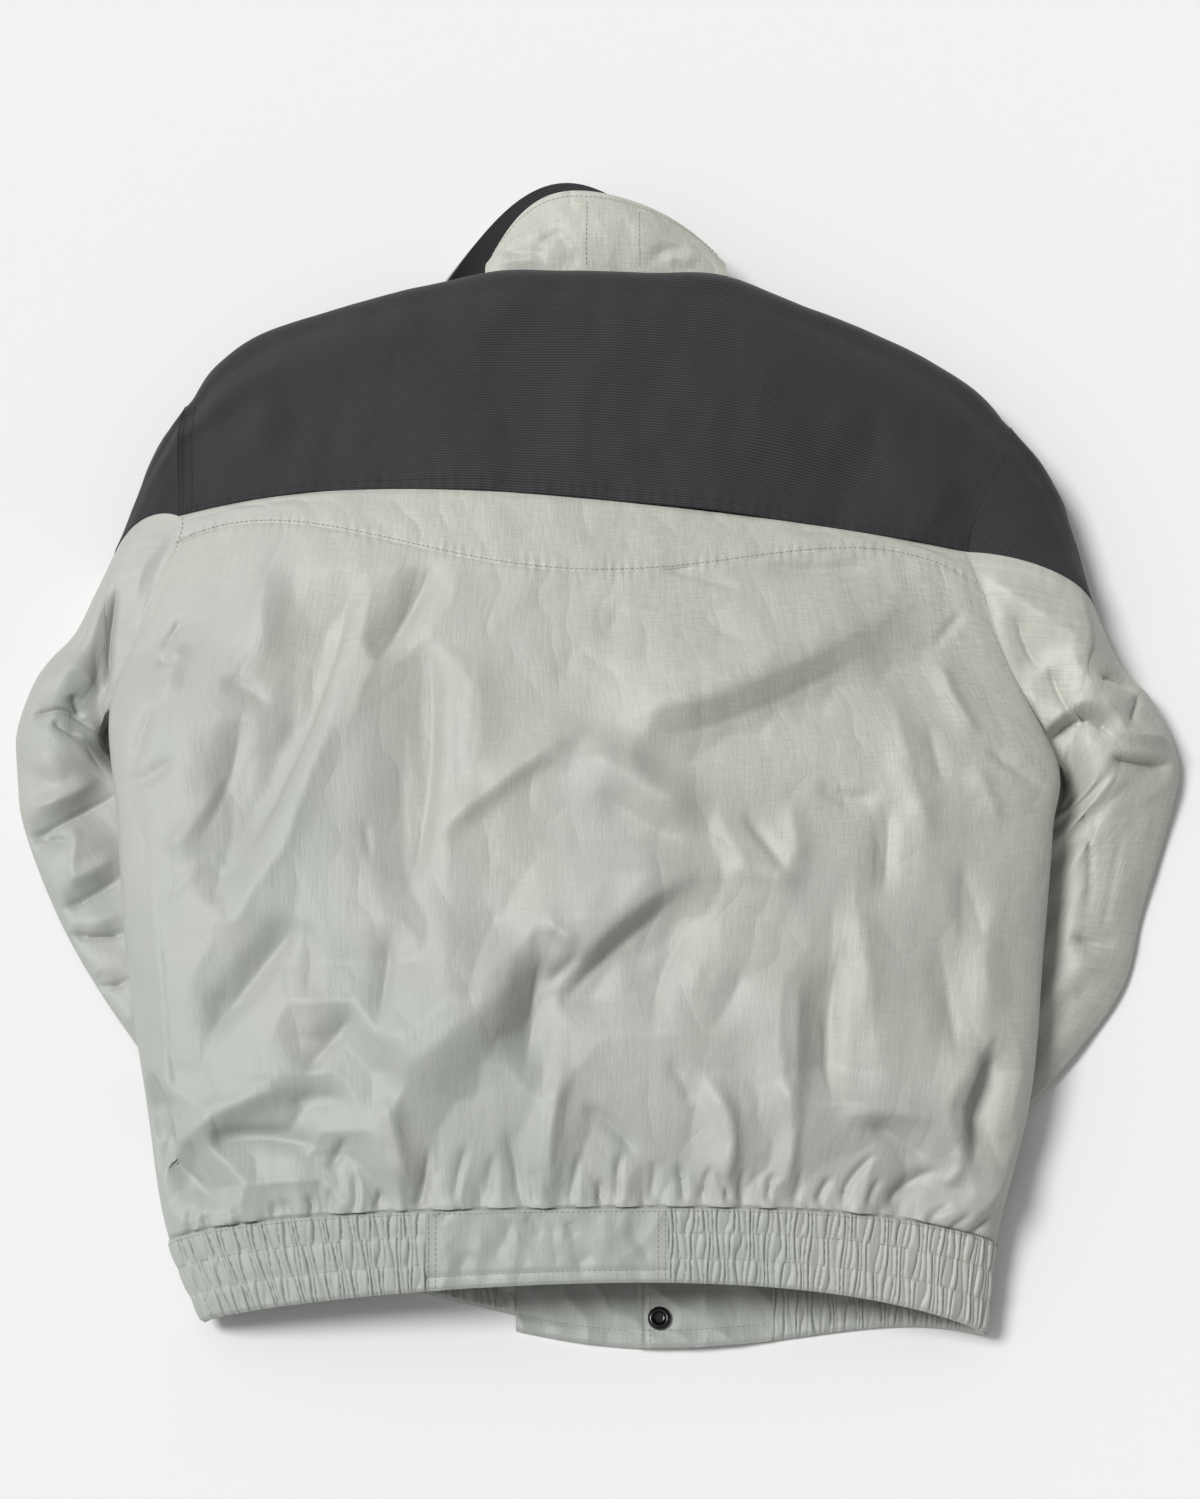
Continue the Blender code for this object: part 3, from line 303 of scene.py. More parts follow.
# Where the plan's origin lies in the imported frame, in metres, read from the snap's place
PLAN_SHIFT = np.array([SNAP_FOOT[0] - SNAP_X * MM, SNAP_FOOT[1] - SNAP_Y * MM, 0.0])

# Creases: each runs through three places on the plan. The two widths are those of its left and right
# flank as it runs, and a height below zero is a trough.
Crease = namedtuple("Crease", "start_x start_y mid_x mid_y end_x end_y left right height")
BACK_CREASES = rows_of(
    Crease,
    # Long wedges that fall from the V seam on the left
    (-248, -101, -193, 20, -164, 130, 44, 10, -7.0),
    (-236, -102, -184, 19, -154, 122, 10, 26, 4.0),
    (-266, -66, -244, -21, -236, 32, 14, 10, -3.0),
    (-150, 51, -127, 92, -111, 129, 13, 6, -4.0),
    (-126, -109, -112, -19, -114, 83, 34, 8, -6.0),
    (-115, -106, -102, -20, -104, 70, 8, 26, 3.0),
    (-148, -80, -150, -64, -152, -51, 4, 3, -2.0),
    (-84, 70, -77, 14, -83, -32, 18, 18, 2.0),
    (-219, 133, -224, 97, -218, 61, 14, 14, 2.5),
    # The long diagonal ridge and what hangs from it
    (-112, -72, -61, -28, 0, 14, 16, 9, 4.0),
    (-6, 12, 106, 44, 217, 116, 52, 24, 8.0),
    (25, -1, 104, 23, 188, 73, 20, 26, -3.0),
    (-16, -6, 25, -30, 68, -61, 20, 28, 6.0),
    (-1, -33, 25, -54, 57, -71, 16, 16, -3.0),
    (66, 99, 78, 78, 105, 64, 18, 18, -2.0),
    (39, 122, 66, 117, 96, 107, 4, 5, -2.0),
    (99, 127, 142, 125, 190, 132, 6, 9, -2.0),
    (5, 67, 9, 84, 13, 97, 10, 10, -2.0),
    (-22, 40, -20, 55, -17, 70, 9, 9, -2.0),
    # The hooked crease at the centre and the two facets beside it
    (-134, -225, -91, -190, -34, -143, 56, 30, 7.0),
    (-48, -220, -41, -179, -36, -140, 22, 5, -7.0),
    (-37, -121, -26, -128, -13, -138, 7, 5, 7.0),
    (-12, -140, -22, -151, -35, -163, 5, 5, -6.0),
    (-22, -160, 14, -118, 72, -85, 42, 13, 6.0),
    (-27, -178, 6, -143, 62, -96, 11, 24, -5.0),
    (74, -91, 104, -87, 128, -103, 24, 10, 3.5),
    (34, -196, 41, -150, 68, -115, 26, 12, -3.0),
    (-63, -106, -77, -144, -83, -176, 16, 16, -2.0),
    # Right half, below the ridge
    (147, -240, 146, -189, 153, -135, 20, 9, -5.0),
    (124, -251, 124, -201, 127, -145, 22, 9, 3.0),
    (146, -246, 184, -239, 227, -247, 12, 9, 4.0),
    (165, -248, 190, -257, 208, -272, 8, 6, -4.0),
    (238, -275, 246, -223, 258, -198, 10, 7, -6.0),
    (227, -272, 231, -230, 248, -195, 24, 7, 4.0),
    (193, -314, 238, -297, 267, -254, 14, 10, 5.0),
    (182, -300, 194, -285, 219, -272, 6, 5, -5.0),
    (212, -284, 227, -272, 222, -257, 5, 6, 4.0),
    (218, -122, 224, -166, 228, -204, 16, 16, -2.5),
    (259, -92, 247, -139, 256, -177, 12, 12, 2.5),
    (166, -104, 170, -143, 166, -194, 12, 14, 2.0),
    (63, -197, 84, -170, 89, -148, 10, 10, -2.0),
    (232, -75, 242, -104, 247, -133, 10, 12, -2.0),
    # Right armhole
    (218, 70, 232, 88, 244, 103, 5, 6, -3.0),
    (224, 70, 234, 35, 250, 6, 7, 9, 3.0),
    (251, 7, 271, -10, 295, -23, 7, 6, -3.0),
    (194, 40, 201, -20, 220, -68, 13, 13, 3.0),
    (215, 20, 219, -5, 224, -29, 8, 8, -2.5),
    (244, -7, 252, -30, 261, -54, 8, 9, 3.0),
    (142, -23, 156, -36, 186, -32, 6, 7, -3.0),
    (181, -104, 186, -70, 185, -36, 9, 8, -3.0),
    (127, -87, 125, -62, 122, -38, 10, 10, 3.0),
    (90, -47, 107, -69, 122, -93, 7, 5, -3.0),
    # Left side and left armhole
    (-192, -114, -219, -147, -260, -198, 6, 14, -5.0),
    (-153, -176, -173, -197, -191, -219, 6, 12, -4.0),
    (-273, -264, -238, -236, -184, -220, 10, 12, 4.0),
    (-251, -260, -219, -254, -169, -264, 8, 10, -4.0),
    (-200, -240, -182, -231, -157, -235, 8, 10, -3.0),
    (-173, -276, -166, -266, -161, -255, 5, 4, -5.0),
    (-118, -292, -129, -257, -135, -228, 16, 10, 4.0),
    (-299, -192, -281, -257, -229, -302, 6, 4, -6.0),
    (-273, -262, -280, -170, -293, -70, 7, 4, 1.4),
    (-249, -105, -248, -91, -244, -76, 9, 8, -3.0),
    (-140, -189, -137, -157, -134, -122, 10, 5, -3.0),
    (-189, -175, -186, -142, -192, -116, 9, 9, -2.0),
    (-293, 75, -285, 87, -278, 98, 4, 3, -4.0),
    (-295, 69, -287, 65, -278, 65, 4, 4, -3.0),
    (-287, 33, -283, 59, -279, 81, 6, 9, 3.5),
    (-252, 50, -233, 44, -218, 28, 7, 12, -3.5),
    (-317, -18, -294, -15, -279, -1, 9, 6, -4.0),
    (-310, -12, -302, 14, -295, 37, 8, 7, -3.0),
    (-286, -65, -265, -50, -244, -8, 10, 14, 3.0),
    (-281, -102, -270, -88, -255, -75, 4, 5, 2.0),
    # Above the hem at the centre
    (-31, -294, -30, -252, -20, -206, 12, 7, 3.5),
    (-13, -239, 7, -250, 25, -272, 6, 6, -3.0),
    (41, -208, 52, -224, 57, -240, 9, 6, -3.0),
    (73, -291, 83, -253, 64, -218, 12, 7, 3.5),
    (116, -294, 121, -248, 114, -217, 7, 6, 2.5),
)
HEM_GATHERS = rows_of(
    Crease,
    (-264, -319, -260, -306, -263, -294, 4, 4, -3.0),
    (-250, -317, -249, -308, -254, -299, 3, 3, -3.0),
    (-227, -315, -229, -305, -233, -296, 3, 3, -4.0),
    (-209, -310, -206, -302, -208, -293, 3, 3, -3.0),
    (-196, -310, -196, -301, -203, -292, 4, 4, -3.0),
    (-186, -307, -182, -299, -186, -289, 3, 3, -4.5),
    (-170, -305, -171, -296, -169, -286, 4, 4, -3.0),
    (-156, -303, -154, -291, -157, -276, 3, 3, -4.5),
    (-141, -301, -140, -295, -137, -287, 3, 3, -3.0),
    (-118, -302, -111, -287, -107, -256, 6, 3.5, -6.0),
    (-92, -297, -89, -279, -83, -259, 7, 4, -4.5),
    (-71, -297, -70, -282, -66, -265, 6, 4, -3.5),
    (-52, -298, -54, -275, -60, -250, 7, 5, -4.0),
    (-40, -299, -42, -288, -43, -273, 4, 4, -3.0),
    (-20, -298, -16, -283, -11, -264, 5, 5, -3.5),
    (-1, -299, 0, -291, 0, -281, 3, 3, -3.5),
    (13, -298, 11, -282, 15, -264, 4, 4, -4.0),
    (31, -298, 34, -282, 33, -270, 5, 5, -3.0),
    (52, -298, 52, -286, 49, -271, 3, 3, -5.0),
    (64, -297, 66, -285, 72, -272, 3, 3, -4.0),
    (78, -297, 79, -288, 71, -276, 3, 3, -4.5),
    (92, -298, 89, -288, 93, -273, 4, 4, -3.0),
    (106, -298, 107, -287, 110, -277, 3, 3, -4.5),
    (123, -298, 125, -289, 128, -272, 4, 4, -3.0),
    (136, -298, 141, -288, 147, -279, 3, 3, -5.0),
    (153, -298, 159, -281, 179, -262, 4, 4, -5.0),
    (169, -299, 172, -289, 179, -279, 4, 4, -3.5),
    (205, -307, 213, -300, 223, -295, 3, 3, -4.0),
    (218, -312, 225, -305, 236, -297, 3, 3, -4.0),
    (229, -316, 239, -307, 249, -298, 3, 3, -4.0),
)
YOKE_CREASES = rows_of(
    Crease,
    (-64, 172, -63, 183, -63, 193, 3, 3, -1.2),
    (-32, 171, -29, 181, -31, 190, 3, 3, -1.0),
    (-103, 178, -102, 187, -104, 194, 3, 3, -0.9),
    (8, 170, 9, 178, 7, 187, 3, 3, -0.9),
    (-146, 183, -146, 191, -148, 201, 3, 3, -1.0),
    (66, 166, 68, 174, 71, 182, 3, 3, -0.9),
    (-201, 185, -199, 194, -202, 202, 3, 3, -0.8),
    (-142, 270, -140, 282, -143, 293, 4, 4, -0.9),
    (-63, 215, -63, 230, -65, 243, 4, 4, -0.8),
    (110, 237, 114, 250, 112, 265, 4, 4, -1.0),
    (68, 326, 89, 331, 110, 338, 9, 9, -1.5),
    (-185, 309, -172, 316, -151, 323, 12, 12, 1.5),
    (-236, 201, -229, 231, -211, 252, 22, 22, 2.0),
    (167, 177, 183, 208, 189, 238, 22, 22, -2.0),
    (0, 192, 27, 215, 60, 224, 26, 26, 1.5),
    (-95, 293, -54, 300, -13, 295, 20, 20, -1.5),
    (221, 152, 229, 182, 243, 204, 14, 14, 2.0),
    (-262, 182, -267, 204, -263, 227, 12, 12, -1.5),
)
LEFT_SLEEVE_CREASES = rows_of(
    Crease,
    # The deep fold beside the armhole
    (-334, 46, -331, 84, -325, 128, 9, 5, -5.0),
    # The valley above the elbow and the puffs round it
    (-388, 34, -360, 40, -336, 26, 16, 12, -6.0),
    (-370, 64, -350, 68, -337, 50, 12, 10, 4.0),
    (-354, 52, -350, 44, -345, 36, 6, 6, -2.5),
    (-368, 34, -358, 27, -346, 24, 6, 6, -2.5),
    (-388, 10, -360, 10, -330, 4, 20, 20, 3.0),
    (-342, 106, -356, 82, -368, 62, 10, 10, -2.5),
    # The bend of the elbow
    (-388, -46, -356, -35, -316, -9, 14, 20, -7.5),
    (-382, -26, -358, -21, -332, -1, 9, 9, 4.0),
    (-384, -47, -366, -47, -348, -52, 6, 9, -3.0),
    (-349, -36, -349, -58, -350, -84, 5, 5, 2.0),
    # Forearm
    (-360, -94, -336, -85, -310, -64, 12, 15, -6.0),
    (-354, -76, -338, -70, -316, -54, 8, 8, 3.0),
    (-354, -110, -332, -113, -306, -107, 10, 13, -5.0),
    (-338, -138, -326, -146, -304, -139, 10, 10, -4.0),
    (-330, -162, -316, -168, -300, -161, 9, 9, 2.5),
)
RIGHT_SLEEVE_CREASES = rows_of(
    Crease,
    # The long fold below the cap
    (253, 133, 295, 100, 342, 67, 22, 14, 6.0),
    (280, 106, 284, 82, 296, 62, 10, 10, -4.0),
    (300, 68, 306, 47, 318, 28, 9, 12, -4.5),
    (310, 82, 322, 61, 334, 44, 9, 9, 3.0),
    # The deep fold at the elbow, with the upper sleeve over it
    (286, 12, 322, 40, 352, 18, 24, 5, 8.0),
    (288, 3, 322, 29, 350, 7, 5, 14, -7.0),
    (338, 7, 360, 2, 390, 10, 6, 12, -7.0),
    (334, 24, 356, 20, 388, 26, 13, 6, 5.0),
    (333, 52, 345, 62, 364, 50, 7, 7, -3.5),
    (352, 26, 358, 40, 364, 56, 6, 6, -3.0),
    # Forearm, with its back seam
    (318, -20, 326, -60, 320, -102, 16, 12, -3.0),
    (331, -114, 340, -77, 349, -36, 3, 3, -0.8),
    (310, -110, 328, -116, 354, -112, 9, 8, -4.5),
    (308, -131, 328, -134, 352, -138, 8, 9, 3.5),
    (310, -148, 326, -152, 344, -160, 7, 7, -3.5),
    (279, -219, 299, -181, 313, -141, 4, 4, -1.0),
    (364, -23, 369, -55, 360, -91, 12, 9, 2.5),
)
COLLAR_CREASES = rows_of(
    Crease,
    (-72, 378, -54, 372, -34, 374, 9, 5, -3.0),
    (-74, 364, -58, 366, -40, 370, 6, 8, 2.5),
    (-44, 376, -34, 384, -22, 386, 5, 9, -2.5),
    (-30, 384, -20, 374, -18, 356, 6, 10, -2.0),
    (18, 398, 20, 384, 24, 366, 10, 8, -1.2),
    (34, 360, 46, 372, 66, 366, 7, 9, -2.5),
    (44, 362, 54, 366, 66, 358, 6, 6, 2.0),
    (-56, 398, -62, 388, -66, 378, 8, 8, -1.0),
    (44, 394, 56, 386, 66, 376, 9, 9, -1.2),
)
WAISTBAND_CREASES = rows_of(
    Crease,
    (-100, -301, -99, -304, -95, -308, 3, 3, -1.5),
    (-55, -304, -59, -317, -68, -332, 4, 3, -2.0),
    (-49, -305, -41, -310, -37, -321, 3, 3, -1.8),
    (-29, -304, -29, -322, -25, -337, 3, 3, -2.0),
    (-20, -308, -18, -313, -15, -319, 3, 3, -1.5),
    (-17, -337, -10, -332, -4, -326, 4, 3, -2.0),
    (16, -308, 25, -321, 32, -334, 4, 3, -1.8),
    (-91, -341, -86, -333, -83, -325, 5, 4, -2.0),
    (-1, -304, 4, -312, 1, -325, 6, 6, 1.2),
    (-78, -304, -75, -319, -78, -332, 7, 7, 1.2),
)

# The two sleeves: which way is outward, their turn round the body, the length of the cap in rings, the
# height of their top under the body, how far from it they are puffed up, and how round their top is
Side = namedtuple("Side", "name outward body_turn rings cap_rings under_top puff_reach top_round creases")
SIDES = rows_of(
    Side,
    ("left", -1.0, 0.0, LEFT_RINGS, 1.2, 27.0, 42.0, 0.85, LEFT_SLEEVE_CREASES),
    ("right", 1.0, math.pi, RIGHT_RINGS, 2.0, 16.0, 24.0, 1.5, RIGHT_SLEEVE_CREASES),
)

# Random waves: their height, their size across and along, the angle they lean by and their seed. Ridges
# are waves that are folded down from a level.
Wave = namedtuple("Wave", "height across along lean seed fold", defaults=(None,))
DRIFT_ACROSS = Wave(45.0, 130.0, 130.0, 0.0, 12.5)
DRIFT_ALONG = Wave(45.0, 130.0, 130.0, 0.0, 14.5)
BROAD_RIDGES = Wave(3.0, 66.0, 120.0, -0.5, 1.5, 0.25)
CROSSING_RIDGES = Wave(2.0, 36.0, 70.0, 0.35, 7.5, 0.25)
CROSSING_PATCHES = Wave(1.6, 90.0, 90.0, 0.0, 9.5)
CROSSING_LEVEL = 0.4
SMALL_WAVES = Wave(0.1, 10.0, 26.0, -0.15, 4.5)
YOKE_WAVES = rows_of(
    Wave, (4.0, 60.0, 75.0, 0.4, 2.5), (1.6, 24.0, 40.0, -0.3, 6.5), (0.3, 12.0, 30.0, 0.0, 3.5),
)
PANEL_RIDGES = rows_of(Wave, (2.4, 22.0, 40.0, -0.5, 31.5, 0.2), (1.2, 14.0, 24.0, 0.7, 32.5, 0.2))
TAB_RIDGES = Wave(3.0, 20.0, 34.0, 0.5, 33.5, 0.0)
COLLAR_RIDGES = Wave(1.2, 18.0, 30.0, 0.4, 41.5, 0.2)
FRONT_WAVES = Wave(1.2, 38.0, 80.0, 0.3, 11.5)
SLEEVE_WAVES = Wave(1.3, 26.0, 26.0, 0.5, 21.5)
SLEEVE_RIDGES = Wave(1.3, 24.0, 38.0, -0.8, 23.5, 0.3)

# The cut of each piece before it was sewn: size and area of its flat cloth in metres. Shirred parts are
# cut a third to two fifths longer than they lie.
Cut = namedtuple("Cut", "node width length area held")
CUTS = rows_of(
    Cut,
    ("back_body", 0.65, 0.46, 0.285, "laid"),
    ("back_band", 0.56, 0.056, 0.019, "laid"),
    ("back_yoke", 0.60, 0.20, 0.105, "laid"),
    ("waistband_back_left", 0.225, 0.056, 0.0126, "gathered"),
    ("waistband_back_centre", 0.155, 0.052, 0.008, "laid"),
    ("waistband_back_right", 0.295, 0.053, 0.0156, "gathered"),
    ("waistband_front_left", 0.28, 0.045, 0.0126, "gathered"),
    ("waistband_front_right", 0.195, 0.056, 0.0109, "gathered"),
    ("waistband_tab_left", 0.114, 0.056, 0.0063, "laid"),
    ("waistband_tab_right", 0.088, 0.057, 0.005, "laid"),
    ("front_left", 0.40, 0.52, 0.185, "laid"),
    ("front_right", 0.30, 0.51, 0.13, "laid"),
    ("front_yoke_left", 0.36, 0.18, 0.058, "laid"),
    ("front_yoke_right", 0.27, 0.18, 0.0455, "laid"),
    ("sleeve_left", 0.34, 0.42, 0.087, "laid"),
    ("sleeve_right", 0.36, 0.44, 0.093, "laid"),
    ("sleeve_cap_left", 0.16, 0.125, 0.0085, "laid"),
    ("sleeve_cap_right", 0.20, 0.145, 0.0154, "laid"),
    ("cuff_left", 0.255, 0.046, 0.0117, "laid"),
    ("cuff_right", 0.247, 0.044, 0.0108, "laid"),
    ("collar_back", 0.18, 0.066, 0.009, "laid"),
    ("collar_lining", 0.20, 0.116, 0.016, "laid"),
    ("collar_front", 0.20, 0.116, 0.016, "laid"),
)

# How cloth settles: grid strides with their rounds, and links between points with their stiffness
SETTLE_LEVELS = (
    # stride, rounds, share of the fine slack
    (8, 300, 0.0), (4, 150, 1.0), (2, 80, 2.0),
)
SETTLE_LINKS = (
    # rows down, columns right, stiffness
    (0, 1, 1.0), (1, 0, 1.0), (1, 1, 0.3), (1, -1, 0.3), (0, 2, 0.2), (2, 0, 0.2),
)
SETTLE_STEP = 0.4
SETTLE_SINK = 7.0
SETTLE_RISE = 12.0
SETTLE_SEED = 0.5
SEED_ACROSS = 5.0
SEED_ALONG = 8.0
SEED_LEAN = 0.3
FACET_ROUNDS = (6, 7)
FACET_REACH = 4
FACET_LEAN = 0.06
CRISP_WIDTH = 3.0
CRISP_SHARE = 0.75
CRISP_BORDER = 3
BACK_SLACK = 0.006
FINE_SLACK = 0.003
FINE_SLACK_REACH = 160.0
FINE_SLACK_LEAST = 0.25
HEM_SLACK = 0.02
HEM_SLACK_REACH = 30.0

# The back's folds: how much of the creases and of the crumple they start from, calmer towards the yoke
FOLD_SHARE = 1.5
FOLD_CRUMPLE = 0.35
CALM_SHARE = 0.35
CALM_REACH = 120.0
SEAM_FADE = 14.0
SIDE_FADE = 0.3
HEM_TUCK = 3.5
HEM_PUFF = 1.8
HEM_PUFF_REACH = 14.0
HEM_SINK = 2.6
HEM_DROP = 1.8
HEM_DROP_START = -0.8
SMALL_GATHER_REACH = 6.0

# The relief of the back and the yoke: how much of the creases, gathers and crumple it takes up
RELIEF_SHARE = 1.1
RELIEF_CALM = 24.0
RELIEF_AT_HEM = 0.35
GATHER_SHARE = 0.55
BAND_CRUMPLE = 0.4
BAND_CRUMPLE_REACH = 8.0
YOKE_STEP = 0.9
YOKE_STEP_REACH = 1.2
YOKE_SINK = 0.5
YOKE_CALM = 0.8

# How a crease is drawn: its steps, how far it reaches in widths, its tip, foot, ends and core
CREASE_STEPS = 24
CREASE_REACH = 2.4
CREASE_TIP = 0.05
CREASE_FOOT = 6.0
CREASE_END_SHARE = 0.3
CREASE_FULL_LENGTH = 70.0
CREASE_CORE = 1.8
CREASE_CORE_HEIGHT = 4.0

# Studio: the lights turn by degrees, and lengths are metres
Sun = namedtuple("Sun", "name energy spread turn_x turn_y")
SUNS = rows_of(Sun, ("key", 2.5, 20.0, -9.0, -31.0), ("fill", 0.6, 110.0, -5.0, -45.0))
SKY_STRENGTH = 0.29
FLOOR_SIZE = 60.0
FLOOR_Z = -0.0005
CAMERA_LENS = 79.25
CAMERA_SENSOR = 36.0
CAMERA_ELEVATION = 72.0
CAMERA_DISTANCE = 2.2
CAMERA_TARGET = (0.0, 0.012, 0.04)


def ramp(value):
    """Zero below zero, one above one, and a soft step between."""
    clipped = np.clip(value, 0.0, 1.0)
    return clipped * clipped * (3.0 - 2.0 * clipped)


def blend(first, last, share):
    """What lies at a share of the way from the first value to the last."""
    return first + (last - first) * share


def hump(turn):
    """The sine of a turn where it is above zero, and zero elsewhere."""
    return np.clip(np.sin(turn), 0.0, 1.0)


def grooves(at, *lines):
    """Soft sunken lines along seams and stitches."""
    return sum(-line.depth * np.exp(-(((at - line.place) / line.width) ** 2)) for line in lines)


def uneven_wave(x, pitch, drift, sway):
    """A wave along x whose pitch drifts."""
    return np.sin(x / pitch + sway * np.sin(x / drift))


def puckers(x, above, kind):
    """Small puckers along a line of stitches, at places above its seam."""
    wave = uneven_wave(x, kind.pitch, kind.drift, PUCKER_SWAY)
    return kind.height * wave * np.exp(-((above - kind.above) / kind.reach) ** 2)


def walked(points):
    """How far each point of a path lies along it."""
    steps = np.linalg.norm(np.diff(points, axis=0), axis=1)
    return np.concatenate(([0.0], np.cumsum(steps)))


def hermite(here, leave, there, arrive, t):
    """A smooth curve from here to there, with a given direction at each end."""
    return (
        here * (2 * t**3 - 3 * t**2 + 1)
        + leave * (t**3 - 2 * t**2 + t)
        + there * (3 * t**2 - 2 * t**3)
        + arrive * (t**3 - t**2)
    )


def smooth_table(knots, values, at):
    """The columns of a table at any place, on a smooth curve through its rows."""
    at = np.clip(np.asarray(at, float), knots[0], knots[-1])
    steps = np.diff(knots)
    slopes = np.diff(values, axis=0) / steps[:, None]
    weights = (steps[1:] / (steps[1:] + steps[:-1]))[:, None]
    inner = slopes[:-1] * weights + slopes[1:] * (1.0 - weights)
    tangents = np.concatenate((slopes[:1], inner, slopes[-1:]))
    row = np.clip(np.searchsorted(knots, at, side="right") - 1, 0, len(knots) - 2)
    step = steps[row][..., None]
    t = (at[..., None] - knots[row][..., None]) / step
    return hermite(values[row], tangents[row] * step, values[row + 1], tangents[row + 1] * step, t)


def rows_at(along, stations=STATIONS, knots=None):
    """A station made of arrays, at the given places along the centre line."""
    table = np.array([station[1:] for station in stations], float)
    if knots is None:
        knots = np.array([station.y_centre for station in stations], float)
    return Station("", *np.moveaxis(smooth_table(knots, table, along), -1, 0))


def five_across(values, place):
    """A smooth curve through five values at places -1, -0.5, 0, 0.5 and 1."""
    places = (-1.0, -0.5, 0.0, 0.5, 1.0)
    total = 0.0
    for here, value in zip(places, values):
        weight = 1.0
        for other in places:
            if other != here:
                weight = weight * (place - other) / (here - other)
        total = total + value * weight
    return total


def row_x(row, place):
    """The x of a place across a row, from -1 at its left end to 1 at its right end."""
    return (row.left + row.right) / 2.0 + (row.right - row.left) / 2.0 * place


def row_y(row, place):
    """The y of a place across a row."""
    values = (row.y_left, row.y_inner_left, row.y_centre, row.y_inner_right, row.y_right)
    return five_across(values, place)


def arch_height(row, turn):
    """The height of a row's arch, at a turn from the left side (0) to the right side (pi)."""
    return blend(row.edge_z, row.crown_z, hump(turn) ** row.roundness)


def arch(row, turn):
    """Points on a row's arch."""
    place = -np.cos(turn)
    return np.stack((row_x(row, place), row_y(row, place), arch_height(row, turn)), axis=-1)


def back_surface(turn, along):
    """The smooth form of the back, at a turn from the left side (0) to the right side (pi)."""
    return arch(rows_at(along), turn)


def collar_surface(stations, turn, along):
    """The smooth form of a layer of the collar, from its neckline (0) to its free edge."""
    return arch(rows_at(along, stations, np.arange(len(stations), dtype=float)), turn)


def turn_at_x(along, x):
    """The turn round the body at which a row crosses the given x."""
    row = rows_at(along)
    place = (x - (row.left + row.right) / 2.0) / ((row.right - row.left) / 2.0)
    return np.arccos(-np.clip(place, -1.0, 1.0))


def beside(x, y, start, end):
    """The share of a straight line that is nearest to each place, and the way from there to the place."""
    run_x, run_y = end[0] - start[0], end[1] - start[1]
    share = ((x - start[0]) * run_x + (y - start[1]) * run_y) / (run_x**2 + run_y**2)
    share = np.clip(share, 0.0, 1.0)
    return share, x - start[0] - share * run_x, y - start[1] - share * run_y


def forearm_lift(x, y):
    """How far the sleeves under the front lift it off the floor."""
    lift = np.zeros_like(x)
    for arm in FOREARMS:
        share, off_x, off_y = beside(x, y, (arm.elbow_x, arm.elbow_y), (arm.cuff_x, arm.cuff_y))
        reach = blend(arm.elbow_reach, arm.cuff_reach, share) + LIFT_RAMP
        lift = np.maximum(lift, FOREARM_LIFT * ramp((reach - np.hypot(off_x, off_y)) / LIFT_RAMP))
    return lift * ramp((y - LIFT_END_Y) / LIFT_END_RAMP)


def front_surface(turn, along, lap=0.0):
    """The smooth form of the front, which lies on the floor; lap raises the overlapping front."""
    row = rows_at(along)
    place = -np.cos(turn)
    hem_share = ramp((LOW_BACK - along) / (LOW_BACK - HEM_SEAM))
    edge_share = np.clip((HEM_SEAM - along) / BAND_HEIGHT, 0.0, 1.0)
    drops = [
        hem_share * blend(seam, edge, edge_share)
        for seam, edge in zip(FRONT_HEM_SEAM_DROP, FRONT_HEM_EDGE_DROP)
    ]
    x = row_x(row, place)
    neck = ramp((NECK_SHOULDER - np.abs(x)) / (NECK_SHOULDER - NECK_HALF_WIDTH))
    neck_share = ramp((along - NECK_DROP_START) / (SHOULDER_FOLD - NECK_DROP_START))
    y = row_y(row, place) + five_across((0.0, *drops, 0.0), place) - NECK_DROP * neck * neck_share

    raised = lap * (1.0 - ramp((x - LAP_RAMP_START) / (LAP_RAMP_END - LAP_RAMP_START)))
    floor = np.maximum(forearm_lift(x, y), raised)
    edge = row.edge_z - np.where(along > ARMPIT, row.opening, 0.0)
    from_side = np.clip(np.minimum(turn, math.pi - turn), 0.0, FRONT_ROLL_TURN)
    fall = np.sin(from_side / FRONT_ROLL_TURN * math.pi / 2.0) ** np.clip(row.roundness, 1.0, 2.0)
    z = blend(edge, floor, fall)

    fold_z = arch_height(rows_at(np.full_like(along, SHOULDER_FOLD)), turn)
    fold_z = fold_z * (1.0 - neck) + (NECK_Z + raised) * neck
    from_fold = np.clip((SHOULDER_FOLD - along) / (SHOULDER_FOLD - SHOULDER_TOP), 0.0, 1.0)
    climb = 1.0 - np.sqrt(2.0 * from_fold - from_fold**2)
    return np.stack((x, y, blend(z, np.maximum(fold_z, z), climb)), axis=-1)


def body_side(side, first):
    """The body's edge on one side, from a row to the shoulder fold: the rows, their x and their y."""
    fine = np.linspace(first, SHOULDER_FOLD, EDGE_POINTS)
    row = rows_at(fine)
    return fine, getattr(row, side.name), getattr(row, f"y_{side.name}")


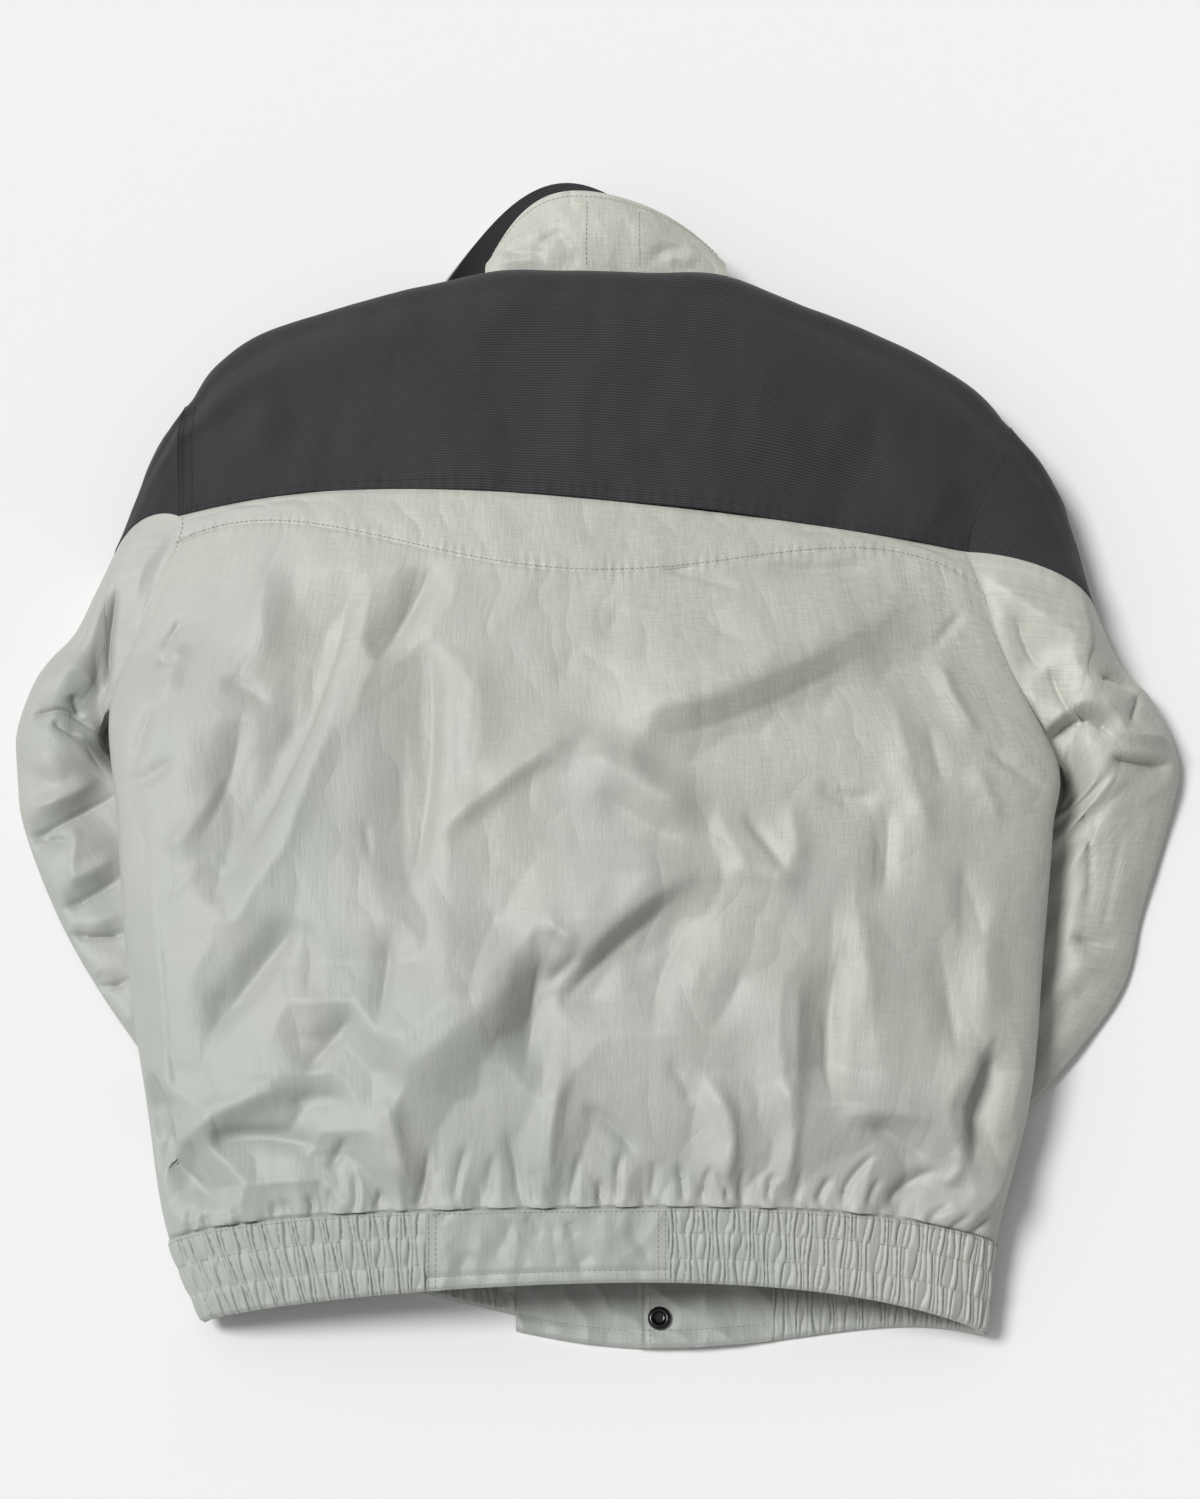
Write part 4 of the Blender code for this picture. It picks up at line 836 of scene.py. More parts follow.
def armhole_ring(side, turn):
    """The sleeve's first ring: round the armhole from the shoulder, down the back, up the front."""
    share = (1.0 - np.cos(turn)) / 2.0
    fine, _, height = body_side(side, ARMPIT)
    along = np.interp(blend(height[-1], height[0], share), height, fine)
    body_turn = np.full_like(turn, side.body_turn)
    on_back = (np.sin(turn) >= 0.0)[..., None]
    points = np.where(on_back, back_surface(body_turn, along), front_surface(body_turn, along))
    near_armpit = ramp((share - 1.0 + ARMPIT_SHARE) / ARMPIT_SHARE)
    over = ARMPIT_RING_RISE * hump(turn) ** ARMHOLE_TOP_ROUND
    below = ARMPIT_RING_FALL * hump(-turn) ** SLEEVE_BOTTOM_ROUND
    points[..., 2] = blend(points[..., 2], ARMPIT_RING_Z + over - below, near_armpit)
    return points


def sleeve_ring(side, ring, turn):
    """Points round one ring of a sleeve, from its outer edge over the top and back below."""
    share = (1.0 - np.cos(turn)) / 2.0
    x = blend(ring.outer_x, ring.inner_x, share)
    y = blend(ring.outer_y, ring.inner_y, share)
    edge = blend(ring.outer_z, ring.inner_z, share)
    _, body_x, body_y = body_side(side, HEM_EDGE)
    outside = (x - np.interp(y, body_y, body_x)) * side.outward
    dip = blend(side.under_top, ring.top_z, ramp(outside / side.puff_reach))
    top = np.maximum(blend(ring.top_z, dip, ring.under), edge)
    below = hump(-turn) ** SLEEVE_BOTTOM_ROUND
    return np.stack((x, y, blend(edge, top, hump(turn) ** side.top_round) - edge * below), axis=-1)


def sleeve_surface(side, turn, along):
    """The smooth form of a sleeve, at a turn round it and a place along its rings."""
    loops = np.stack([armhole_ring(side, turn), *(sleeve_ring(side, ring, turn) for ring in side.rings)])
    last = len(loops) - 1
    row = np.clip(np.floor(along).astype(int), 0, last - 1)

    def loop(index):
        picked = np.clip(index, 0, last)[None, ..., None]
        return np.take_along_axis(loops, np.broadcast_to(picked, (1, *loops.shape[1:])), axis=0)[0]

    here, there = loop(row), loop(row + 1)
    leave = (there - loop(row - 1)) / np.where(row == 0, 1.0, 2.0)[..., None]
    arrive = (loop(row + 2) - here) / np.where(row + 1 == last, 1.0, 2.0)[..., None]
    return hermite(here, leave, there, arrive, (along - row)[..., None])


def cap_turn(side, along):
    """Half the turn that the charcoal cap covers at a place along the sleeve."""
    rows = rows_at(np.array([ARMPIT, YOKE_EDGE, SHOULDER_FOLD], float))
    bottom, edge, top = getattr(rows, f"y_{side.name}")
    share = (top - edge) / (top - bottom) * np.clip(1.0 - along / side.cap_rings, 0.0, 1.0)
    return np.arccos(1.0 - 2.0 * share)


def pushed(points):
    """Points moved by the soft pushes on the plan."""
    moved = points.copy()
    for push in PUSHES:
        distance = np.hypot(points[..., 0] - push.x, points[..., 1] - push.y)
        share = np.exp(-((distance / push.reach) ** 2))
        moved[..., 0] += push.shift_x * share
        moved[..., 1] += push.shift_y * share
    return moved


def crease_heights(points, creases, steepest=0.34, least=0.5, core=0.0):
    """The sum of listed creases, each with a crisp line and two straight flanks.

    Flanks are no steeper than asked, short creases keep at least a share of their height, and a core
    deepens the line of a trough.
    """
    total = np.zeros(points.shape[:-1])
    step = np.linspace(0.0, 1.0, CREASE_STEPS + 1)[:, None]
    for crease in creases:
        start = np.array([crease.start_x, crease.start_y])
        end = np.array([crease.end_x, crease.end_y])
        bend = 2.0 * np.array([crease.mid_x, crease.mid_y]) - (start + end) / 2.0
        path = (1 - step) ** 2 * start + 2 * step * (1 - step) * bend + step**2 * end
        height = crease.height * np.clip(walked(path)[-1] / CREASE_FULL_LENGTH, least, 1.0)
        left, right = (max(width, abs(height) / steepest) for width in (crease.left, crease.right))
        reach = CREASE_REACH * max(left, right)
        plan = points[..., :2]
        near = ((plan > path.min(axis=0) - reach) & (plan < path.max(axis=0) + reach)).all(axis=-1)
        if not near.any():
            continue
        x, y = plan[near].T
        nearest = np.full(x.shape, np.inf)
        share = np.zeros(x.shape)
        width = np.ones(x.shape)
        for index, (here, there) in enumerate(zip(path[:-1], path[1:])):
            part, off_x, off_y = beside(x, y, here, there)
            run_x, run_y = there - here
            side_width = np.where(run_x * off_y - run_y * off_x > 0.0, left, right)
            distance = off_x**2 + off_y**2
            closer = distance < nearest
            nearest = np.where(closer, distance, nearest)
            share = np.where(closer, (index + part) / CREASE_STEPS, share)
            width = np.where(closer, side_width, width)
        flank = np.sqrt(nearest / width**2 + CREASE_TIP**2) - CREASE_TIP
        profile = np.log1p(np.exp(CREASE_FOOT * (1.0 - flank))) / math.log1p(math.exp(CREASE_FOOT))
        depth = core * np.clip(-height / CREASE_CORE_HEIGHT, 0.0, 1.0)
        ends = ramp(share / CREASE_END_SHARE) * ramp((1.0 - share) / CREASE_END_SHARE)
        total[near] += (height * profile - depth * np.exp(-nearest / CREASE_CORE**2)) * ends
    return total


def wrinkles(x, y, across, along, lean, seed):
    """Random soft waves from -1 to 1, with their own size across and along, leaning by an angle."""
    turned_x = (x * math.cos(lean) + y * math.sin(lean)) / across
    turned_y = (y * math.cos(lean) - x * math.sin(lean)) / along
    values = [noise.noise((u, v, seed)) for u, v in zip(turned_x.ravel(), turned_y.ravel())]
    return np.reshape(values, x.shape)


def waves(x, y, *kinds):
    """The sum of some kinds of random waves."""
    total = np.zeros_like(x)
    for kind in kinds:
        wave = wrinkles(x, y, kind.across, kind.along, kind.lean, kind.seed)
        total += kind.height * (wave if kind.fold is None else kind.fold - np.abs(wave))
    return total


def body_crumple(x, y):
    """The lesser wrinkles all over the back, drifting so that they don't run in rows."""
    drift_x = x + waves(x, y, DRIFT_ACROSS)
    drift_y = y + waves(x, y, DRIFT_ALONG)
    patches = ramp(CROSSING_LEVEL + waves(x, y, CROSSING_PATCHES))
    crossing = patches * waves(drift_x, drift_y, CROSSING_RIDGES)
    return waves(drift_x, drift_y, BROAD_RIDGES) + crossing + waves(x, y, SMALL_WAVES)


def side_fade(turn):
    """Zero at the side edges of the body, where its pieces meet, and one further in."""
    return ramp(np.sin(turn) / SIDE_FADE)


def back_folds(points, turn, along):
    """The folds that the back's cloth starts from: the placed creases, and lesser waves between them."""
    inside = ramp((BAND_SEAM - along) / SEAM_FADE) * ramp((along - HEM_SEAM) / SEAM_FADE)
    crumple = body_crumple(points[..., 0], points[..., 1])
    heights = FOLD_SHARE * crease_heights(points, BACK_CREASES) + FOLD_CRUMPLE * crumple
    calm = 1.0 - CALM_SHARE * ramp((along - ARMPIT) / CALM_REACH + 0.5)
    return heights * calm * inside * side_fade(turn)


def back_relief(points, turn, along):
    """Sharp small creases, gathers and seams of the sage pieces of the back."""
    x, y = points[..., 0], points[..., 1]
    above_hem = along - HEM_SEAM
    above_seam = along - BAND_SEAM
    calm = (1.0 - ramp(above_seam / SEAM_FADE)) * ramp(above_hem / RELIEF_CALM + RELIEF_AT_HEM)
    heights = RELIEF_SHARE * crease_heights(points, BACK_CREASES, steepest=0.5, core=0.8) * calm
    heights += BAND_CRUMPLE * body_crumple(x, y) * ramp(above_seam / BAND_CRUMPLE_REACH)
    heights += GATHER_SHARE * crease_heights(points, HEM_GATHERS, steepest=0.9, least=0.7, core=2.6)
    small_gathers = np.abs(uneven_wave(x, pitch=3.4, drift=23.0, sway=1.5)) - 0.6
    heights += small_gathers * np.exp(-above_hem / SMALL_GATHER_REACH)
    # The cloth bulges over the hem seam and drops steeply into it
    heights += HEM_PUFF * np.exp(-above_hem / HEM_PUFF_REACH)
    heights = blend(-HEM_SINK, heights, ramp((above_hem - HEM_DROP_START) / HEM_DROP))
    # The puckers come and go along the V seam
    heights += puckers(x, above_seam, BAND_PUCKER) * (0.6 + 0.4 * np.sin(x / 9.0))
    return (heights + grooves(along, *BACK_GROOVES)) * side_fade(turn)


def yoke_relief(points, turn, along):
    """The yoke's soft waves, its small puckers and its raised lower edge."""
    x, y = points[..., 0], points[..., 1]
    above_edge = along - YOKE_EDGE
    heights = crease_heights(points, YOKE_CREASES) + waves(x, y, *YOKE_WAVES)
    heights += puckers(x, above_edge, YOKE_PUCKER) + grooves(along, *YOKE_GROOVES)
    heights += YOKE_STEP * ramp(above_edge / YOKE_STEP_REACH) - YOKE_SINK
    heights *= 1.0 - YOKE_CALM * ramp((along - SHOULDER_TOP) / (SHOULDER_FOLD - SHOULDER_TOP))
    return heights * side_fade(turn)


def band_edges(height):
    """The rolled lower edge of the waistband and the sunken seam at its top, at shares of its height."""
    roll = -BAND_ROLL * (1.0 - ramp(height / BAND_ROLL_SHARE))
    return roll + grooves(height * BAND_HEIGHT, BAND_SEAM_GROOVE)


def panel_heights(points, turn, along):
    """The flat centre panel of the waistband, padded and a little creased."""
    heights = PANEL_CREASES * crease_heights(points, WAISTBAND_CREASES, steepest=0.25, least=0.8)
    heights += PANEL_PAD + waves(points[..., 0], points[..., 1], *PANEL_RIDGES)
    return heights + grooves(along, PANEL_GROOVE) + band_edges((along - HEM_EDGE) / BAND_HEIGHT)


def tab_heights(points, turn, along):
    """A flat tab of the front waistband, with sunken lines of stitches, and level round the snap."""
    x, y = points[..., 0], points[..., 1]
    heights = TAB_PAD + waves(x, y, TAB_RIDGES) + band_edges((along - HEM_EDGE) / BAND_HEIGHT)
    heights += grooves(along, TAB_GROOVE) + grooves(x, LAP_GROOVE)
    return heights * ramp((np.hypot(x - SNAP_X, y - SNAP_Y) - SNAP_CLEARANCE) / SNAP_RAMP)


def rib_heights(points, turn, along, height, ribs):
    """A shirred band: round ridges with narrow valleys, pressed down by two lines of stitches."""
    share = np.linspace(0.0, 1.0, turn.shape[-1])
    # Sines of unlike lengths keep the ribs uneven, with their own course between the lines of stitches
    channel = np.floor(RIB_CHANNELS * height)
    wander = 0.3 * np.sin(share * 47.0 + 0.7 * channel) + 0.2 * np.sin(share * 113.0 - 1.1 * channel)
    phase = share * ribs + wander + 0.25 * np.sin(7.0 * height + share * 61.0)
    ridge = np.abs(np.sin(math.pi * phase)) ** 0.4
    uneven = 0.7 + 0.3 * np.sin(np.floor(phase) * 2.4 + channel)
    pressed = 0.5 + 0.5 * np.abs(np.sin(RIB_CHANNELS * math.pi * height)) ** 0.5
    return RIB_HEIGHT * ridge * uneven * pressed


def shirred_line(points, turn, along, height, ribs):
    """A shirred band along one line of stitches."""
    return rib_heights(points, turn, along, height, ribs) + band_edges(height)


def collar_heights(points, turn, along):
    """Small creases of the back collar, quiet at its free edge."""
    heights = crease_heights(points, COLLAR_CREASES, steepest=0.45, least=0.8)
    heights += waves(points[..., 0], points[..., 1], COLLAR_RIDGES)
    return heights * ramp((COLLAR_EDGE - along) / COLLAR_EDGE_FADE)


def sleeve_relief(creases, points):
    """A sleeve's listed creases on its upper face, and lesser wrinkles all round it."""
    x, y, z = np.moveaxis(points, -1, 0)
    placed = crease_heights(points, creases, steepest=1.2, least=0.9, core=2.2)
    lesser = waves(x + z, y, SLEEVE_WAVES) + waves(x, y - z, SLEEVE_RIDGES)
    upper = ramp((z - SLEEVE_UPPER_Z) / SLEEVE_UPPER_RAMP)
    return placed * upper + lesser * ramp(z / SLEEVE_FLOOR_FADE)


def grid_normals(points):
    """Directions square to a grid of points, facing up where its rows run along +Y and columns along +X."""
    square = np.cross(np.gradient(points, axis=1), np.gradient(points, axis=0))
    return square / np.maximum(np.linalg.norm(square, axis=-1, keepdims=True), 1e-9)


def finer(grid):
    """A grid with one more point between each two, on a smooth curve."""
    for axis in (0, 1):
        rows = np.moveaxis(grid, axis, 0)
        longer = np.concatenate((2.0 * rows[:1] - rows[1:2], rows, 2.0 * rows[-1:] - rows[-2:-1]))
        doubled = np.empty((2 * len(rows) - 1, *rows.shape[1:]))
        doubled[::2] = rows
        doubled[1::2] = (9.0 * (longer[1:-2] + longer[2:-1]) - longer[:-3] - longer[3:]) / 16.0
        grid = np.moveaxis(doubled, 0, axis)
    return grid


def blurred(grid, width):
    """A grid of numbers with its fine detail evened out, by a width in cells."""
    reach = round(3.0 * width)
    weights = np.exp(-0.5 * (np.arange(-reach, reach + 1) / width) ** 2)
    weights /= weights.sum()
    for axis in (0, 1):
        rows = np.moveaxis(grid, axis, 0)
        padded = np.pad(rows, ((reach, reach), (0, 0)), mode="edge")
        rows = sum(weight * padded[i:i + len(rows)] for i, weight in enumerate(weights))
        grid = np.moveaxis(rows, 0, axis)
    return grid


def even_slopes(slopes):
    """The slopes of a grid's cells, each evened out with near ones that lean alike."""
    rows, columns = slopes.shape[:2]
    padded = np.pad(slopes, ((FACET_REACH,) * 2, (FACET_REACH,) * 2, (0, 0)), mode="edge")
    total = np.zeros_like(slopes)
    weights = np.zeros((rows, columns, 1))
    for down in range(2 * FACET_REACH + 1):
        for right in range(2 * FACET_REACH + 1):
            other = padded[down:down + rows, right:right + columns]
            apart = ((other - slopes) ** 2).sum(axis=-1, keepdims=True)
            distance = math.hypot(down - FACET_REACH, right - FACET_REACH) / (0.5 * FACET_REACH)
            weight = np.exp(-apart / (2.0 * FACET_LEAN**2) - 0.5 * distance**2)
            total += weight * other
            weights += weight
    return total / weights


def faceted(form, heights, rounds):
    """The same folds with flatter sides and crisper lines, as stiff taffeta has them.

    The slopes of the cells are evened out where they lean alike, and then added up again.
    """
    across = np.linalg.norm(np.diff(form, axis=1), axis=-1).mean()
    onward = np.linalg.norm(np.diff(form, axis=0), axis=-1).mean()
    slopes = np.stack((
        (np.diff(heights[1:], axis=1) + np.diff(heights[:-1], axis=1)) / (2.0 * across),
        (np.diff(heights[:, 1:], axis=0) + np.diff(heights[:, :-1], axis=0)) / (2.0 * onward),
    ), axis=-1)
    for _ in range(rounds):
        slopes = even_slopes(slopes)
    tall = np.pad(slopes[..., 0] * across, ((1, 1), (0, 0)), mode="edge")
    wide = np.pad(slopes[..., 1] * onward, ((0, 0), (1, 1)), mode="edge")
    steps_across = (tall[1:] + tall[:-1]) / 2.0
    steps_onward = (wide[:, 1:] + wide[:, :-1]) / 2.0
    bend = np.diff(steps_across[1:-1], axis=1) + np.diff(steps_onward[:, 1:-1], axis=0)

    # Adding the slopes up is a Poisson problem with a still border, solved with sine waves
    count, width = bend.shape
    odd = np.zeros((2 * count + 2, 2 * width + 2))
    odd[1:count + 1, 1:width + 1] = bend
    odd[count + 2:, 1:width + 1] = -bend[::-1]
    odd[:, width + 2:] = -odd[:, width:0:-1]
    down, right = (2.0 * np.cos(2.0 * math.pi * np.arange(size) / size) - 2.0 for size in odd.shape)
    stiffness = down[:, None] + right
    stiffness[0, 0] = 1.0
    solved = np.fft.ifft2(np.fft.fft2(odd) / stiffness).real
    result = np.zeros_like(heights)
    result[1:-1, 1:-1] = solved[1:count + 1, 1:width + 1]
    return result


def settle(base, start, slack, fine_slack):
    """Cloth cut a little larger than its form, settled into folds with its borders sewn in place.

    Every thread is drawn towards its own length, on a coarse grid first and then on finer ones.
    """
    normals = grid_normals(base)
    shift = None
    for stride, rounds, share in SETTLE_LEVELS:
        form = base[::stride, ::stride]
        up = normals[::stride, ::stride]
        room = (slack + share * fine_slack)[::stride, ::stride]
        if shift is None:
            shift = up * start[::stride, ::stride, None]
        else:
            x, y, z = np.moveaxis(form, -1, 0)
            seeds = wrinkles(x, y + z, SEED_ACROSS * stride, SEED_ALONG * stride, SEED_LEAN, stride + 0.5)
            shift = finer(shift) + up * (SETTLE_SEED * seeds)[..., None]
        rows, columns = form.shape[:2]
        free = np.zeros((rows, columns, 1))
        free[1:-1, 1:-1] = 1.0
        links = []
        for down, right, stiffness in SETTLE_LINKS:
            first = np.s_[:rows - down, max(0, -right):columns - max(0, right)]
            second = np.s_[down:, max(0, right):columns + min(0, right)]
            rest = np.linalg.norm(form[second] - form[first], axis=-1) * room[first]
            links.append((first, second, rest, stiffness))
        points = form + shift
        for _ in range(rounds):
            push = np.zeros_like(points)
            for first, second, rest, stiffness in links:
                gap = points[second] - points[first]
                short = 0.5 * stiffness * (1.0 - rest / np.linalg.norm(gap, axis=-1))
                push[first] += gap * short[..., None]
                push[second] -= gap * short[..., None]
            points += SETTLE_STEP * free * push
            off = ((points - form) * up).sum(axis=-1)
            points -= up * (off - np.clip(off, -SETTLE_SINK, SETTLE_RISE))[..., None]
        shift = points - form
    for rounds in FACET_ROUNDS:
        stride = (len(base) - 1) // (len(shift) - 1)
        form = base[::stride, ::stride]
        up = normals[::stride, ::stride]
        heights = (shift * up).sum(axis=-1)
        shift = shift + up * (faceted(form, heights, rounds) - heights)[..., None]
        if stride > 1:
            shift = finer(shift)
    heights = (shift * normals).sum(axis=-1)
    free = np.zeros_like(heights)
    free[CRISP_BORDER:-CRISP_BORDER, CRISP_BORDER:-CRISP_BORDER] = 1.0
    crisp = CRISP_SHARE * free * (heights - blurred(heights, CRISP_WIDTH))
    return base + shift + normals * crisp[..., None]


def lowest_near(heights, reach=2):
    """The lowest height in each small neighbourhood, so that the inside stays below sharp troughs."""
    padded = np.pad(heights, reach, mode="edge")
    rows, columns = heights.shape
    shifts = range(2 * reach + 1)
    return np.min([padded[i:i + rows, j:j + columns] for i in shifts for j in shifts], axis=0)


def quads(grid):
    """The corners of each cell of a grid, round the cell."""
    corners = (grid[:-1, :-1], grid[:-1, 1:], grid[1:, 1:], grid[1:, :-1])
    return np.stack(corners, axis=2).reshape(-1, 4, *grid.shape[2:])


def border(grid, is_tube):
    """The walks along the free edges of a grid: once round a panel, or along both ends of a tube."""
    if is_tube:
        return [grid[0], grid[-1, ::-1]]
    return [np.concatenate((grid[0], grid[1:, -1], grid[-1, -2::-1], grid[-2::-1, 0]))]


def rim(fine, coarse):
    """Five-cornered faces between a fine edge and one with half as many points."""
    return np.stack((coarse[:-1], coarse[1:], fine[2::2], fine[1::2], fine[:-1:2]), axis=1)


def numbered(points, first, is_closed):
    """A grid's points numbered from a first one on; a closed grid repeats its first column at its end."""
    numbers = first + np.arange(points[..., 0].size).reshape(points.shape[:2])
    return np.concatenate((numbers, numbers[:, :1]), axis=1) if is_closed else numbers


def add_piece(name, mesh, fabric, *nodes):
    """A finished piece that rides on the garment and stands for its CAD nodes."""
    mesh.materials.append(fabric.material)
    mesh.shade_smooth()
    mesh.set_sharp_from_angle(angle=math.radians(SHARP_ANGLE))
    piece = bpy.data.objects.new(name, mesh)
    bpy.context.scene.collection.objects.link(piece)
    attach(piece, "root")
    if nodes:
        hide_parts(*nodes)
    return piece


def make_cloth(node, base, heights, fabric, facing=1.0, thickness=CLOTH_THICKNESS, is_tube=False):
    """A thin shell of cloth: a fine face raised from a smooth form, and a plainer face behind it."""
    base = pushed(base)
    normals = grid_normals(base) * facing
    face = base + normals * heights[..., None]
    behind = (base + normals * (lowest_near(heights) - thickness)[..., None])[::2, ::2]
    for points in (face, behind):
        points[..., 2] = np.maximum(points[..., 2], 0.0)
    # How far each row and column lies along the cloth, for a weave that runs straight
    middle_row, middle_column = (size // 2 for size in base.shape[:2])
    lengths = np.stack(np.meshgrid(walked(base[middle_row]), walked(base[:, middle_column])), axis=-1)
    if is_tube:
        face, behind = face[:, :-1], behind[:, :-1]
    numbers = numbered(face, 0, is_tube)
    behind_numbers = numbered(behind, face[..., 0].size, is_tube)

    corners = []
    for fine, coarse in ((numbers, behind_numbers), (lengths, lengths[::2, ::2])):
        rims = [rim(*edges) for edges in zip(border(fine, is_tube), border(coarse, is_tube))]
        corners.append([quads(fine), quads(coarse)[:, ::-1], *rims])
    if facing < 0.0:
        corners = [[faces[:, ::-1] for faces in kind] for kind in corners]
    points = np.concatenate((face.reshape(-1, 3), behind.reshape(-1, 3))) * MM + PLAN_SHIFT
    mesh = bpy.data.meshes.new(node)
    mesh.from_pydata(points.tolist(), [], [corner for faces in corners[0] for corner in faces.tolist()])
    layer = mesh.uv_layers.new(name="cloth")
    layer.data.foreach_set("uv", np.concatenate([faces.ravel() for faces in corners[1]]) * MM)
    return add_piece(f"{node}_cloth", mesh, fabric, node)


def eased(first, last, count, ease=0.4):
    """Places from first to last, closer together towards both ends."""
    share = np.linspace(0.0, 1.0, count)
    return blend(first, last, share - ease * np.sin(2.0 * math.pi * share) / (2.0 * math.pi))


def even_turns(surface, along, first, last, count):
    """Turns from first to last that are evenly spaced along the cloth itself."""
    fine = np.linspace(first, last, TURN_POINTS)
    lengths = walked(surface(fine, np.full_like(fine, along)))
    return np.interp(np.linspace(0.0, lengths[-1], count), lengths, fine)


def spread_rows(starts, ends, share, along):
    """A grid of turns from a start to an end on each row, and each row's place along the cloth."""
    turn = blend(starts[:, None], ends[:, None], share)
    return turn, np.repeat(along[:, None], len(share), axis=1)


def on_surface(surface, relief, turn, along):
    """Points on the finished cloth at given turns and places along it, and the directions square to it."""
    turn, along = np.broadcast_arrays(turn, along)
    here = pushed(surface(turn, along))
    across = pushed(surface(turn + SMALL_TURN, along)) - here
    onward = pushed(surface(turn, along + SMALL_STEP)) - here
    square = np.cross(across, onward)
    normals = square / np.linalg.norm(square, axis=-1, keepdims=True)
    return here + normals * relief(here, turn, along)[..., None], normals


def add_stitches(name, lines, fabric):
    """Rows of short thread bars along lines on the cloth, joined into one mesh."""
    rings = []
    for points, normals in lines:
        lengths = walked(points)
        starts = np.arange(STITCH_START, lengths[-1] - STITCH_PITCH, STITCH_PITCH)
        places = starts[:, None] + np.linspace(0.0, STITCH_LENGTH, len(STITCH_LIFTS))
        spots, up = (
            np.stack([np.interp(places, lengths, column) for column in values.T], axis=-1)
            for values in (points, normals)
        )
        run = spots[:, 2:] - spots[:, :1]
        side = np.cross(run / np.linalg.norm(run, axis=-1, keepdims=True), up)
        lift = np.array(STITCH_LIFTS)[:, None] * up
        corners = np.stack((side, up, -side, -up), axis=2) * STITCH_RADIUS
        rings.append((spots + lift)[:, :, None] + corners)
    rings = np.concatenate(rings)
    numbers = np.arange(rings.size // 3).reshape(rings.shape[:3])
    around = np.roll(numbers, -1, axis=2)
    sides = np.stack((numbers[:, :-1], around[:, :-1], around[:, 1:], numbers[:, 1:]), axis=-1)
    faces = np.concatenate((sides.reshape(-1, 4), numbers[:, 0, ::-1], numbers[:, 2]))
    mesh = bpy.data.meshes.new(name)
    mesh.from_pydata((rings.reshape(-1, 3) * MM + PLAN_SHIFT).tolist(), [], faces.tolist())
    return add_piece(name, mesh, fabric)


def make_back(sage, charcoal):
    """The main back panel, the band above it and the yoke."""
    for node, first, last, rows, columns, relief, fabric in (
        ("back_body", HEM_SEAM - HEM_TUCK, BAND_SEAM, 177, 353, back_relief, sage),
        ("back_band", BAND_SEAM, YOKE_EDGE, 31, 353, back_relief, sage),
        ("back_yoke", YOKE_EDGE, SHOULDER_FOLD, 101, 301, yoke_relief, charcoal),
    ):
        turns = even_turns(back_surface, (first + last) / 2.0, 0.0, math.pi, columns)
        turn, along = np.meshgrid(turns, eased(first, last, rows))
        base = back_surface(turn, along)
        heights = relief(base, turn, along)
        if node == "back_body":
            slack = 1.0 + BACK_SLACK + HEM_SLACK * np.exp((HEM_SEAM - along) / HEM_SLACK_REACH)
            low_share = ramp((ARMPIT - along) / FINE_SLACK_REACH)
            fine_slack = FINE_SLACK * blend(FINE_SLACK_LEAST, 1.0, low_share)
            base = settle(base, back_folds(base, turn, along), slack, fine_slack)
        make_cloth(node, base, heights, fabric)


def make_fronts(sage, charcoal):
    """The two fronts and their yokes, which rest on the floor and are creased only where they don't."""
    share = np.linspace(0.0, 1.0, FRONT_COLUMNS)
    for side, lap in (("left", 0.0), ("right", WALL + SEAM_GAP)):
        for node, first, last, rows, fabric in (
            (f"front_{side}", HEM_SEAM, YOKE_EDGE, 121, sage),
            (f"front_yoke_{side}", YOKE_EDGE, SHOULDER_FOLD, 61, charcoal),
        ):
            along = eased(first, last, rows)
            if side == "left":
                turn, along = spread_rows(np.zeros(rows), turn_at_x(along, UNDERLAP_EDGE), share, along)
            else:
                turn, along = spread_rows(turn_at_x(along, LAP_EDGE), np.full(rows, math.pi), share, along)
            base = front_surface(turn, along, lap)
            x, y, z = np.moveaxis(base, -1, 0)
            heights = waves(x, y, FRONT_WAVES) * side_fade(turn) * ramp(z / FRONT_FLOOR_FADE)
            make_cloth(node, base, heights, fabric, facing=-1.0)


def waistband_grid(surface, along, part, columns):
    """The turns and rows of a waistband part, evenly spaced along its cloth from one end to the other."""
    def ends(rows):
        first = np.zeros_like(rows) if part.first_x is None else turn_at_x(rows, part.first_x)
        last = np.full_like(rows, math.pi) if part.last_x is None else turn_at_x(rows, part.last_x)
        return first, last

    middle = np.array([np.mean(along)])
    first, last = (turns[0] for turns in ends(middle))
    share = (even_turns(surface, middle[0], first, last, columns) - first) / (last - first)
    return spread_rows(*ends(along), share, along)


def make_waistband(sage):
    """The shirred and flat parts of the waistband, back and front."""
    for part in WAISTBAND:
        surface = back_surface if part.is_back else partial(front_surface, lap=part.lap)
        rows = eased(HEM_EDGE + part.pull, HEM_SEAM, TAB_GRID.rows)
        columns = RIB_COLUMNS * part.ribs + 1 if part.ribs else TAB_GRID.columns
        turn, along = waistband_grid(surface, rows, part, columns)
        base = surface(turn, along)
        inside = 1.0
        if not part.is_back:
            base = base + grid_normals(base) * WAISTBAND_WALL
            inside = ramp(np.minimum(turn, math.pi - turn) / FRONT_ROLL_TURN)
        if part.ribs:
            height = (along - rows[0]) / (HEM_SEAM - rows[0])
            heights = rib_heights(base, turn, along, height, part.ribs) * inside + band_edges(height)
        elif part.is_back:
            heights = panel_heights(base, turn, along)
        else:
            heights = tab_heights(base, turn, along)
        make_cloth(part.node, base, heights, sage, thickness=BAND_THICKNESS)


